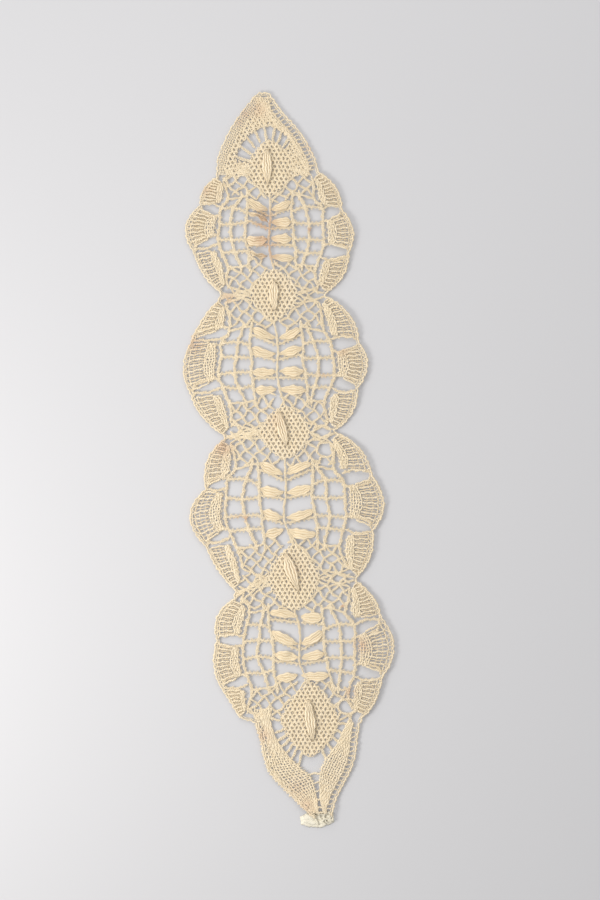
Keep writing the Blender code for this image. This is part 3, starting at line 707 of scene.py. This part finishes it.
def addStaves():
    # staves down each half lobe and bars across it; the two inner staves stop part of the way to the corner
    # of each rhombus, where the lattice begins, and the bars beside the leaves are beaded
    for number, half in enumerate(frames):
        cloth, lobe = cloths[half["row"]["lobe"] + 1], half["lobe"]
        rise = half["pins"][0, 0, 1] - lobe["y"]
        fall = lobe["y"] - half["pins"][9, 0, 1]
        for k in range(3):
            line = smoothLine(half["pins"][:, k], 8)
            if k < 2:
                y = line[:, 1] - lobe["y"]
                line = line[(y < stave["stopAt"] * rise) & (y > -stave["stopAt"] * fall)]
            addCord(cloth, line, plait, phase=number + k * 2.0)
            addPicots(cloth, line, stave["beadsEvery"], 1.35)
        for j in (0, 2, 3, 4, 5, 6, 7, 9):
            line = smoothLine(half["pins"][j], 8)
            addCord(cloth, line, thinPlait, height=1.35, phase=j * 1.7)
            if j in (3, 4, 5, 6):
                addPicots(cloth, line, stave["barBeadsEvery"])
        addKnots(cloth, half["pins"])


# round openings left in the lattice at the right of two rhombuses: place and half size
openings = rows(("x", "y", "wide", "tall"), (59, -246, 8.5, 7), (34, 29, 8, 5.5), (38, 10, 8.5, 7))


def offOpenings(points):
    # true outside every opening: (x/wide)^2 + (y/tall)^2 >= 1
    x, y = points.T
    share = [((x - row["x"]) / row["wide"]) ** 2 + ((y - row["y"]) / row["tall"]) ** 2 for row in openings]
    return np.all(np.array(share) >= 1, axis=0)


def latticeArea(half, upper):
    # the test for one corner of lattice: outside the rhombus, inside stave 3, beyond the leaves and the bars
    number, side, lobe = half["row"]["lobe"], half["side"], half["lobe"]
    diamond, turn = (diamonds[number], 1) if upper else (diamonds[number + 1], -1)
    tall = abs(diamond["y"] - lobe["y"])
    leaf = [row for row in leafRows if row["lobe"] == number][0 if upper else -1]
    vein, far = turn * leaf["vein"], turn * leaf["left" if side < 0 else "right"]

    def keep(points):
        x1, x3 = ((onPath(half["pins"][:, k], points[:, 1])[:, 0] - lobe["x"]) * side for k in (0, 2))
        x, y = (points[:, 0] - lobe["x"]) * side, (points[:, 1] - lobe["y"]) * turn
        inner = (x < x1) & (x > 2) & (y > vein + (far - vein) * x / x1 + 3.5)
        outer = (x >= x1) & (y > 0.54 * tall)
        within = (inner | outer) & (x < x3 + 0.5) & (y < tall + 1) & inOutline(points) & (edgeGap(points) > 4)
        return within & offOpenings(points) & ~insideDiamond(points, diamond, 0.6)
    return keep


lattice = {"spacing": 9.4, "bearings": (47, -43), "sway": 0.95}


def addLattice():
    # plaits that cross on the slant by each side of a rhombus: offset = sway · sin(pi · length / spacing)
    for half in frames:
        cloth = cloths[half["row"]["lobe"] + 1]
        for upper in (True, False):
            number = half["row"]["lobe"] + (0 if upper else 1)
            centre = np.array((diamonds[number]["x"] + 1.5 * number, diamonds[number]["y"]), float)
            lean = 5 * np.sin(3.0 * number + half["side"])
            bearings = [bearing + lean for bearing in lattice["bearings"]]
            for k, j, part in runsInside(centre, latticeArea(half, upper), lattice["spacing"], bearings, 9):
                off = np.cumsum(np.full(len(part), 0.5)) + part[0, 0] * 0.7
                sway = lattice["sway"] * np.sin(off * math.pi / lattice["spacing"] + j * math.pi)[:, None]
                line = (part + besideOf(part) * sway)[::2]
                addCord(cloth, line, thinPlait, height=1.15 + 0.25 * k, phase=j)


def addOpenings():
    # a plait round each opening, x = wide · cos, y = tall · sin, left out where a rhombus or the edge is
    turn = np.linspace(0, 2 * math.pi, 33)
    for row in openings:
        x, y = row["x"] + (row["wide"] + 0.4) * np.cos(turn), row["y"] + (row["tall"] + 0.4) * np.sin(turn)
        ring = smoothLine(np.stack((x, y), 1), 3)
        free = inOutline(ring) & (edgeGap(ring) > 4)
        for diamond in diamonds:
            free &= ~insideDiamond(ring, diamond, 0.0)
        index = np.flatnonzero(free)
        for run in np.split(index, np.flatnonzero(np.diff(index) > 1) + 1):
            if len(run) > 6:
                addCord(cloths[sectionOf(row["y"])], ring[run], thinPlait, height=1.3)


def addWaists():
    # between two lobes, plaits spread from the narrow edge to the corner of the rhombus
    for number in range(3):
        diamond = diamonds[number + 1]
        for side in (-1, 1):
            upper, lower = frames[2 * number + (side > 0)], frames[2 * number + 2 + (side > 0)]
            cloth = cloths[number + 1]
            flat = 180 if side < 0 else 0
            for k, share in enumerate((0.04, 0.34, 0.66, 0.96) if side < 0 else (0.0, 1.0)):
                bearing = math.radians(flat + (0.5 - share) * (34 if side < 0 else 50) * side)
                near = diamondEdge(diamond, np.array(bearing), -1.0)
                far = upper["low"] + (lower["top"] - upper["low"]) * (share if side > 0 else 1 - share)
                far = far - (side * 2.0, 0)
                line = smoothLine((near, (near + far) / 2 + (0, 0.8 * (-1) ** k), far), 6)
                addCord(cloth, line, thinPlait, height=1.2, phase=k)
            if number == 1 and side < 0:
                corner = centreOf(diamond) - (diamond["left"] + 1, 0)
                inner = np.stack((upper["low"] + (3, 0), corner + (0, 5)))
                outer = np.stack((lower["top"] + (3, 0), corner - (0, 5)))
                addWeave(cloth, inner, outer, 4, 8, thread=0.62, height=1.3, loose=0.3)


def addCentres():
    # the vein of each lobe, its pairs of leaves, and a beaded bar below each leaf but the lowest
    for number, lobe in enumerate(lobes):
        cloth = cloths[number + 1]
        above, below = diamonds[number], diamonds[number + 1]
        vein = smoothLine(((above["x"], above["y"] - above["down"] + 2), (lobe["x"] + 0.6, lobe["y"] + 16),
                           (lobe["x"] - 0.4, lobe["y"] - 14), (below["x"], below["y"] + below["up"] - 2)), 12)
        addCord(cloth, vein, thinPlait, height=1.6)
        mine = [row for row in leafRows if row["lobe"] == number]
        for k, row in enumerate(mine):
            for side, key, end in ((-1, "L", "left"), (1, "R", "right")):
                pins = frames[2 * number + (side > 0)]["pins"][:, 0]
                height = lobe["y"] + row[end]
                start = onLobe(lobe, side, 1.2, row["vein"])
                addLeaf(cloth["trim"], start, onPath(pins, height) - (side, 0), row["wide" + key] * 1.08,
                        side * row["bow" + key], row["twist" + key], flatLeaf)
                if k < 3:
                    barStart, barStop = start + (0, -6.2), onPath(pins, height - 6.4)
                    line = smoothLine((barStart, (barStart + barStop) / 2 + (0, 0.4), barStop), 8)
                    addCord(cloth, line, thinPlait, height=1.0)
                    addPicots(cloth, line)


fan = {
    "legs": (9, 10, 8), "leftGap": 5.6, "rightGap": 7.4,        # half height of the slits at each side
    "coreTo": 0.46, "legsTo": 0.85, "rimTo": 0.985,             # shares of the way from the stave to the edge
    "coreFrom": 4.6, "coreThread": 0.78, "coreWarps": 5, "coreEvery": 2.6,
    "ladder": (0.56, 0.71), "under": 0.55,                      # the darker threads, painted shade between the legs: their shares and tone
}


def fanPoint(root, end, share):
    # root + (end - root) · share
    return root + (end - root) * share


def addFan(cloth, root, end):
    # a loose cloth core by the stave, legs that spread from it, darker threads under them that are painted
    # shade between the legs, then a zigzag and a twisted pair along the edge
    legs, trim = len(root), cloth["trim"]
    flare = (2 * np.linspace(0, 1, legs) - 1)[:, None] ** 2
    length = np.linalg.norm(end[legs // 2] - root[legs // 2])
    inner = fanPoint(root, end, fan["coreFrom"] / length + 0.03 * flare)
    outer = fanPoint(root, end, fan["coreTo"] - 0.10 * flare)
    rim, far = fanPoint(root, end, fan["legsTo"]), fanPoint(root, end, fan["rimTo"])
    wefts = max(int(np.linalg.norm(inner[-1] - inner[0]) / fan["coreEvery"]), 6)
    addWeave(cloth, inner, outer, fan["coreWarps"], wefts, thread=fan["coreThread"], height=1.5, loose=0.6)
    addPicots(cloth, smoothLine(inner, 3), 5.4, 0.6)
    for k in range(legs):
        leg = smoothLine((outer[k], fanPoint(root, end, 0.66)[k], rim[k]), 4)
        addCord(trim, leg, legPair, height=1.7, phase=k)
    feet, tops = (outer[1:] + outer[:-1]) / 2, (rim[1:] + rim[:-1]) / 2
    # painted shade: low threads in the darker under tone fill the gaps between the legs, and the ladder
    # threads take the same tone
    under = feet[:, None] + (tops - feet)[:, None] * np.linspace(-0.1, 1, 5)[:, None]
    addTubes(trim, atHeight(under, 0.7), 0.62, tone=fan["under"])
    for share in fan["ladder"]:
        addTubes(trim, atHeight(smoothLine(fanPoint(root, end, share), 2), 0.5), 0.5, tone=fan["under"])
    turns = np.empty((2 * legs - 1, 2))
    turns[0::2], turns[1::2] = rim, far[:-1] * 0.6 + far[1:] * 0.4
    addTubes(trim, atHeight(smoothLine(turns, 4), 1.4), 0.52)
    addCord(cloth, smoothLine(fanPoint(root, end, fan["legsTo"] - 0.01), 4), pair)


def addFans():
    # three fans on each half lobe, from stave 3 to the scallops, with two plaits along each slit
    for number, half in enumerate(frames):
        lobe, side, row = half["lobe"], half["side"], half["row"]
        cloth, path = cloths[row["lobe"] + 1], half["pins"][:, 2]
        gap = fan["rightGap"] if side > 0 else fan["leftGap"]
        slits = row["slit1"], row["slit2"]
        tops = row["topY"] - 8, slits[0] - gap - 2.2, slits[1] - gap - 2.2
        lows = slits[0] + gap + 2.2, slits[1] + gap + 2.2, row["lowY"] + 10
        for order, (high, low, arc) in enumerate(zip(tops, lows, half["edge"])):
            share = np.linspace(0, 1, fan["legs"][(number + order) % 3])
            root = onPath(path, lobe["y"] + high + (low - high) * share)
            addFan(cloth, root, atPlaces(arc, (share * 0.88 + 0.06) * (len(arc) - 1)))
        for notch, height in zip(half["notches"], slits):
            pull = 0.3 * (notch[1] - lobe["y"] - height)
            start = onPath(path, lobe["y"] + height - pull)
            stop = np.array((notch[0] - side * 4.5, lobe["y"] + height + pull))
            for off in (-gap, gap):
                a, b = start + (0, off * 0.8), stop + (0, off * 0.72)
                line = smoothLine((a, (a + b) / 2 + (0, off * 0.36), b, notch + (side * -2.5, off * 0.25)), 6)
                addCord(cloth, line, thinPlait, height=1.3)
                addPicots(cloth, line, 8.0, 1.1)


edging = {
    "step": 1.4, "outer": 1.0, "inner": 2.9, "innerThread": 0.46,      # both cords' insets from the edge
    "bump": 0.42, "bumpEvery": 5.6, "tapeBelow": -357,
}


def edgeLine(points, inset):
    # the closed edge moved inward by its own normals
    ahead = unit(np.roll(points, -1, axis=0) - np.roll(points, 1, axis=0))
    return points + np.stack((-ahead[:, 1], ahead[:, 0]), 1) * inset


def addEdges():
    # two cords inside the edge, each cut where a section ends; the tape's end takes none
    closed = evenLine(np.vstack((outline, outline[:1])), edging["step"])[:-1]
    turn = np.arange(len(closed)) * edging["step"] * 2 * math.pi / edging["bumpEvery"]
    bump = edging["bump"] * np.sin(turn)[:, None]
    for inset, isOuter in ((edging["outer"], True), (edging["inner"], False)):
        line = edgeLine(closed, inset + bump * isOuter)
        line = np.vstack((line, line[:2]))
        section = np.array([sectionOf(y) for y in line[:, 1]])
        section[line[:, 1] < edging["tapeBelow"]] = -1
        for run in np.split(np.arange(len(line)), np.flatnonzero(np.diff(section)) + 1):
            part = line[run[0]:min(run[-1] + 2, len(line))]
            if len(part) < 3 or section[run[0]] < 0:
                continue
            cloth = cloths[section[run[0]]]["trim"]
            if isOuter:
                addCord(cloth, part, edgeCord, height=1.4)
            else:
                wave = 0.25 * np.sin(np.arange(len(part)) * 1.2 + inset)
                addTubes(cloth, atHeight(part, 1.2 + wave)[::2], edging["innerThread"])


net = {"rowHeight": 3.9, "bearings": (0, 60, 120), "thread": 0.69, "shadeEvery": 1.7, "shadeTone": 0.6}


def beyondDiamond(points, diamond, grow=0.0):
    # the bearing of each point from the middle, and how far it lies outside the rhombus
    off = points - centreOf(diamond)
    bearing = np.arctan2(off[..., 1], off[..., 0])
    edge = diamondEdge(diamond, bearing, grow) - centreOf(diamond)
    return bearing, np.hypot(off[..., 0], off[..., 1]) - np.hypot(edge[..., 0], edge[..., 1])


def insideDiamond(points, diamond, shrink):
    # true inside the rhombus made smaller all round
    return beyondDiamond(points, diamond, -shrink)[1] < 0


def runsInside(centre, keep, spacing, degrees, least):
    # parallel lines at each bearing, cut into the runs where keep is true
    for k, bearing in enumerate(degrees):
        t = math.radians(bearing)
        along, beside = np.array((math.cos(t), math.sin(t))), np.array((math.sin(t), -math.cos(t)))
        for j in range(-int(66 / spacing), int(66 / spacing) + 1):
            line = centre + along * np.arange(-70, 70, 0.5)[:, None] + beside * (j + 0.5) * spacing
            inside = np.flatnonzero(keep(line))
            for run in np.split(inside, np.flatnonzero(np.diff(inside) > 1) + 1):
                if len(run) >= least:
                    yield k, j, line[run]


def addGround(cloth, centre, keep, spacing, degrees, thread):
    # half stitch: parallel threads at the given bearings, the first set single and the others in pairs
    kind = dict(netPair, thread=thread, pitch=spacing * 1.155)
    for k, j, part in runsInside(centre, keep, spacing, degrees, 7):
        if k == 0:
            part = np.vstack((part[::3], part[-1:]))
            wave = 0.25 * np.sin(np.arange(len(part)) * 1.9 + j)
            addTubes(cloth, atHeight(part, 1.25 + wave), thread * 1.06)
        else:
            addCord(cloth, part, kind, height=1.1 + 0.25 * (k - 1), phase=j * 1.3)


def addShadeThreads(cloth, centre, keep, spacing, bearing):
    # thin darker threads that pass below the holes of a net: painted shade, tan threads that stand for the
    # shade seen through the holes
    for _, _, part in runsInside(centre, keep, spacing, (bearing,), 5):
        addTubes(cloth, atHeight(np.vstack((part[::4], part[-1:])), 0.5), 0.5, tone=net["shadeTone"])


def addNet(cloth, diamond, number):
    # half stitch inside the rhombus, and a rim that turns at every pin: offset = 0.85 · sin(36 · bearing)
    centre = centreOf(diamond)
    addGround(cloth, centre, lambda points: insideDiamond(points, diamond, 0.3), net["rowHeight"],
              net["bearings"], net["thread"])
    addShadeThreads(cloth["trim"], centre, lambda points: insideDiamond(points, diamond, 1.5), net["shadeEvery"], 90)
    bearing = np.linspace(0, 2 * math.pi, 241)
    ring = diamondEdge(diamond, bearing, -0.7 + 0.85 * np.sin(36 * bearing + number))
    addTubes(cloth, atHeight(ring, 1.3 + 0.2 * np.sin(bearing * 17)), 0.5)


def addDiamonds():
    # the sections that the five rhombuses are worked in, from the top down
    for number, section in enumerate((0, 1, 2, 3, 5)):
        addNet(cloths[section], diamonds[number], number)


topBands = rows(
    ("bearing", "near", "far"),
    (56, 24, 36), (72, 25, 41), (84, 27, 44), (98, 27, 46), (112, 27, 45), (128, 25, 44),
    (146, 22, 41), (164, 21, 36), (178, 21, 32), (192, 21, 32), (8, 23, 36), (24, 23, 36), (-8, 22, 36))
lowBands = rows(
    ("bearing", "near", "far"),
    (212, 27, 40), (223, 28, 43), (234, 29, 46), (244, 31, 48), (255, 34, 50), (292, 33, 44), (306, 29, 42),
    (322, 26, 40), (338, 25, 40), (354, 27, 40), (199, 27, 38))
seamRungs = rows(
    ("y", "left", "right"),
    (-314, 20, 34), (-323, 25, 31.5), (-331, 27, 31.5), (-339, 28, 34), (-347, 30, 36), (-352, 31, 37))
lowInner = {
    "left": ((-16, -247), (-17, -262), (-12, -278), (-3, -292), (7, -302), (16, -310), (24, -318), (28, -330),
             (29.5, -342), (31, -353)),
    "right": ((61, -260), (53, -273), (48, -285), (39, -297), (33, -308), (31, -320), (32, -335), (34, -346),
              (37, -353)),
}


def inOutline(points):
    # even-odd count of the edge's crossings to the right of each point
    x, y = points[:, None, 0], points[:, None, 1]
    ax, ay = outline[None, :, 0], outline[None, :, 1]
    bx, by = np.roll(outline[:, 0], -1)[None], np.roll(outline[:, 1], -1)[None]
    cross = (ay > y) != (by > y)
    right = x < (bx - ax) * (y - ay) / np.where(by == ay, 1, by - ay) + ax
    return np.sum(cross & right, axis=1) % 2 == 1


def edgeGap(points):
    # distance to the nearest point of the outline
    off = points[:, None] - outline
    return np.min(np.hypot(off[..., 0], off[..., 1]), 1)


def topGround(points):
    # the net of the top end: above the first lobe, inside the bands, outside the rhombus and its open crown
    bearing, beyond = beyondDiamond(points, diamonds[0])
    bearing = np.degrees(bearing)
    crown = (bearing > 50) & (bearing < 168) & (beyond < 10.5 + 4 * np.sin(np.radians(bearing * 1.5 - 90)))
    return inOutline(points) & (edgeGap(points) > 10.5) & (points[:, 1] > 283.5) & (beyond > -0.5) & ~crown


def addTopEnd():
    # bands of cloth along both edges, a ladder outside the right one, net between them and a close tip
    cloth = cloths[0]
    right = smoothLine([(30.5, 286)] + sideOf(topEdge, "right"), 6)
    addBand(cloth, right, 8.6, 13.5, 3, -1)
    addLadder(cloth["trim"], right, 3.4, 8.6, -1, 4.5)
    left = smoothLine([(-72.3, 285)] + sideOf(topEdge, "left"), 6)
    addBand(cloth, left, 3.6, 11.5, 4, 1)
    centre = centreOf(diamonds[0])
    addGround(cloth, centre, topGround, 3.9, (12, 68, 126), 0.66)
    addShadeThreads(cloth["trim"], centre, topGround, 2.6, 100)
    tipLeft = smoothLine(((-36, 363), (-30, 350), (-27, 338)), 4)
    tipRight = smoothLine(((-18, 363), (-17, 350), (-15, 338)), 4)
    addWeave(cloth, tipLeft, tipRight, 6, 11, thread=0.66, height=1.5, loose=0.5)
    for row in topBands:
        addSpoke(cloth["trim"], diamonds[0], row)


def addLowEnd():
    # two bands of cloth that meet at the tape: the left one knobbly at its rim, the right one with a ladder
    cloth = cloths[5]
    for row in lowBands:
        addSpoke(cloth, diamonds[4], row)
    outer = smoothLine([(-35, -249)] + sideOf(lowEdge[:-2], "left") + [(24, -353)], 6)
    inner = smoothLine(lowInner["left"], 6)
    addWeave(cloth, outer + (8.0, 0.5), inner, 8, 40, thread=0.82, height=1.4, loose=0.45)
    addWeave(cloth, outer + (1.8, 0.5), outer + (8.2, 0.5), 3, 38, thread=0.78, height=1.3, loose=1.0)
    addPicots(cloth, outer + (1.2, 0), 4.0, 0.9)
    addPicots(cloth, outer + (5.2, 0), 5.0, 1.6)
    outer = smoothLine(sideOf(lowEdge[:-2], "right") + [(45, -353)], 6)
    inner = smoothLine(lowInner["right"], 6)
    addWeave(cloth, inner, outer - (7.4, 0), 9, 38, thread=0.78, height=1.4, loose=0.4)
    addLadder(cloth, outer, 2.6, 7.8, -1, 4.7)
    for row in seamRungs:
        addCord(cloth, np.array(((row["left"], row["y"]), (row["right"], row["y"] + 1))), legPair, height=1.5)


def offEdge(edge, off, inward):
    # a line moved off an edge into the cloth: inward is +1 for a left edge and -1 for a right one
    ahead = edge[-1] - edge[0]
    return edge + besideOf(edge) * off * (1.0 if ahead[1] * inward > 0 else -1.0)


def addBand(cloth, edge, near, far, warps, inward):
    # cloth stitch between two distances from an edge
    line = evenLine(edge, 1.0)
    addWeave(cloth, offEdge(line, near, inward), offEdge(line, far, inward), warps, int(len(line) / 2.5),
             thread=0.62, height=1.35, loose=0.4)


def addLadder(cloth, edge, near, far, inward, every):
    # slanting rungs between two distances from an edge, and a rail at the farther one
    line = evenLine(edge, every)
    a, b = offEdge(line, near, inward), offEdge(line, far, inward)
    for k in range(1, len(line) - 1):
        addCord(cloth, np.stack((a[k], b[k] * 0.7 + b[k + 1] * 0.3)), pair, phase=k)
    addCord(cloth, offEdge(evenLine(edge, 2.0), far, inward), pair)


def addSpoke(cloth, diamond, row):
    # a plait at a bearing from the middle of a rhombus
    t = math.radians(row["bearing"])
    reach = np.linspace(row["near"] - 1.5, row["far"], 5)[:, None]
    addCord(cloth, centreOf(diamond) + np.array((math.cos(t), math.sin(t))) * reach, plait)


def addPetals():
    # the raised leaves, pointed at both ends and lifted on their diamonds
    items = []
    for number, row in enumerate(petalRows, 1):
        cloth = newCloth()
        top, low = (row["topX"], row["topY"]), (row["lowX"], row["lowY"])
        addLeaf(cloth, top, low, row["width"] * 1.2, 0.6, 0.0, raisedLeaf)
        item = makeMesh("raisedPetal%d" % number, cloth, litPetalCotton)
        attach(item, "root")
        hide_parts("petal_%d" % number)
        items.append(item)
    return items


# tone: the lower, wider layer's 0.8 against 0.95 is painted shade under the layer on it
folds = rows(
    ("top", "low", "foot", "thick", "waves", "tone"),
    (((12.5, -357), (20, -352.5), (34, -350.5), (46.5, -351.5)),
     ((13, -364.5), (22, -367.0), (34, -367.5), (46.0, -362.5)), -2.65, 1.3, 9.0, 0.8),
    (((14, -356), (22, -353.5), (30, -354), (38, -353)),
     ((14.5, -361.5), (23, -364.5), (31, -364), (38, -362.5)), -1.55, 0.9, 7.0, 0.95))
stitches = (
    ((22, -349), (27, -357), (30, -365)), ((30, -351), (32, -358), (37, -365)),
    ((38, -350), (36, -357), (39, -363)), ((41, -351), (43, -356), (41, -361), (45, -359), (44, -353)),
    ((27, -351), (34, -354), (42, -352)), ((33, -361), (38, -358), (44, -361)))


def addFold(cloth, row):
    # one layer of folded tape as a closed slab: top = foot + (thick + creases across it) · sqrt(1 - s^6)
    n = 44
    top, low = (evenLine(smoothLine(row[key], 6), 1, n)[:n] for key in ("top", "low"))
    s = np.concatenate((np.linspace(-1, 1, 17), np.array((1.0, 0.4, -0.4, -1.0)) * 0.98))
    isTop = np.arange(len(s)) < 17
    t = np.linspace(0, 1, n)[:, None]
    waves = row["waves"]
    ragged = 0.5 * np.sin(t * 41 + waves) * np.sin(t * 17 + 1) * np.abs(s) ** 4
    flat = (top + low)[:, None] / 2 + (low - top)[:, None] / 2 * s[:, None] + ragged[..., None] * (0.3, 1.0)
    rounded = np.sqrt(np.clip(1 - s ** 6, 0, 1)) * np.clip(np.minimum(t, 1 - t) * 14, 0.15, 1)
    crease = 0.32 * np.sin(t * waves + s * 1.3) + 0.14 * np.sin(t * 2.6 * waves - s * 3.0)
    crease = crease - 0.5 * np.exp(-(s - 0.2) ** 2 * 60)
    z = row["foot"] + np.where(isTop, (row["thick"] + crease) * rounded, 0.0)
    u, v = t * 36 * np.ones(len(s)), np.broadcast_to(s * 4, z.shape)
    # painted shade and light: the top's tone follows the creases, darker in their hollows and in the groove
    # along the fold, lighter on their crests
    addShell(cloth, atHeight(flat, z), u, v, np.roll(v, -1, 1), row["tone"] + 0.3 * crease * isTop)


def addTape():
    # the folded tape under the tip: two layers, the second turned back, and the stitches that hold them
    cloth = newCloth()
    for row in folds:
        addFold(cloth, row)
    for k, line in enumerate(stitches):
        addCord(cloth, smoothLine(line, 6), stitch, height=-0.1 + 0.12 * k)
    item = makeMesh("tapeTab", cloth, whiteTape)
    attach(item, "root")
    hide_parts("tape_tab")
    return item


addStaves()
addLattice()
addOpenings()
addWaists()
addCentres()
addFans()
addEdges()
addDiamonds()
addTopEnd()
addLowEnd()
print("threads laid")


gridX, gridY = np.meshgrid(np.arange(-110, 110, 2.0), np.arange(-372, 372, 2.0))
paperGrid = np.stack((gridX.ravel(), gridY.ravel()), 1)
paperGrid = paperGrid[inOutline(paperGrid)]
sheetCuts = (400, 268, 165, 28, -118, -222, -400)


def flatOf(high, low):
    # width, length and area of the cloth's outline between two heights on the paper, in metres
    here = paperGrid[(paperGrid[:, 1] < high) & (paperGrid[:, 1] >= low)]
    wide, long = np.ptp(here, axis=0) + 2
    return wide * paper["square"], long * paper["square"], len(here) * 4 * paper["square"] ** 2


petalItems = addPetals()
tapeItem = addTape()
for name, cloth, high, low in zip(sectionNames, cloths, sheetCuts[:-1], sheetCuts[1:]):
    item = makeMesh(name, cloth, ecruCotton)
    trim = makeMesh(name.replace("lace", "edging"), cloth["trim"], ecruCotton)
    for piece in (item, trim):
        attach(piece, "root")
        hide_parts("lace")
    wide, long, area = flatOf(high, low)


table = {
    "half": 3.0, "drop": 0.0002,                # m
    "colour": (0.405, 0.399, 0.402, 1), "roughness": 0.6, "specular": 0.2,
    "glowColour": (1.0, 0.985, 0.99, 1), "glow": 0.15,      # stands for light through the cotton
}
lamps = rows(
    ("name", "place", "size", "power", "colour"),
    ("window", (-0.37, -0.09, 0.35), 0.2, 2.0, (1.0, 0.99, 0.97)),
    ("fill", (-0.1, 0.8, 0.7), 1.0, 6.9, (0.98, 0.985, 1.0)))
studio = {"colour": (0.93, 0.94, 0.96, 1), "strength": 0.67}
view = {"lens": 100, "sensor": 36, "height": 0.45}          # mm, mm and the photo's height in m


def makeTable():
    # a square of table under the collar
    reach, z = table["half"], -table["drop"]
    mesh = bpy.data.meshes.new("tableTop")
    corners = (-reach, -reach, z), (reach, -reach, z), (reach, reach, z), (-reach, reach, z)
    mesh.from_pydata(corners, [], [(0, 1, 2, 3)])
    item = addItem("tableTop", mesh)
    material = bpy.data.materials.new("paleTable")
    material.use_nodes = True
    shader = material.node_tree.nodes["Principled BSDF"]
    shader.inputs["Base Color"].default_value = table["colour"]
    shader.inputs["Roughness"].default_value = table["roughness"]
    shader.inputs["Specular IOR Level"].default_value = table["specular"]
    shader.inputs["Emission Color"].default_value = table["glowColour"]
    shader.inputs["Emission Strength"].default_value = table["glow"]
    mesh.materials.append(material)
    item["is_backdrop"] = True


def addLight(row):
    # a square lamp that faces the middle of the collar
    light = bpy.data.lights.new(row["name"], "AREA")
    light.size, light.energy, light.color = row["size"], row["power"], row["colour"]
    item = addItem(row["name"], light)
    item.location = row["place"]
    item.rotation_mode = "QUATERNION"
    item.rotation_quaternion = (-Vector(row["place"])).to_track_quat("-Z", "Y")


makeTable()
for row in lamps:
    addLight(row)
world = bpy.data.worlds.new("studio")
bpy.context.scene.world = world
world.use_nodes = True
world.node_tree.nodes["Background"].inputs["Color"].default_value = studio["colour"]
world.node_tree.nodes["Background"].inputs["Strength"].default_value = studio["strength"]

camera = bpy.data.cameras.new("camera")
camera.lens, camera.sensor_width = view["lens"], view["sensor"]
eye = addItem("camera", camera)
c, s = math.cos(paper["lean"]), math.sin(paper["lean"])
px, py = paper["photoCentre"]
lookAt = Vector(((px * c + py * s) * paper["square"] - paper["middle"][0],
                 (py * c - px * s) * paper["square"] - paper["middle"][1], 0.0))
away = view["height"] * camera.lens / camera.sensor_width
eye.matrix_world = Matrix.Translation(lookAt + Vector((0, 0, away))) @ Matrix.Rotation(-paper["lean"], 4, "Z")
bpy.context.scene.camera = eye
bpy.context.scene.view_settings.view_transform = "Standard"

low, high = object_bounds()
{"cad": [list(cadLow), list(cadHigh)], "visual": [list(low), list(high)]}
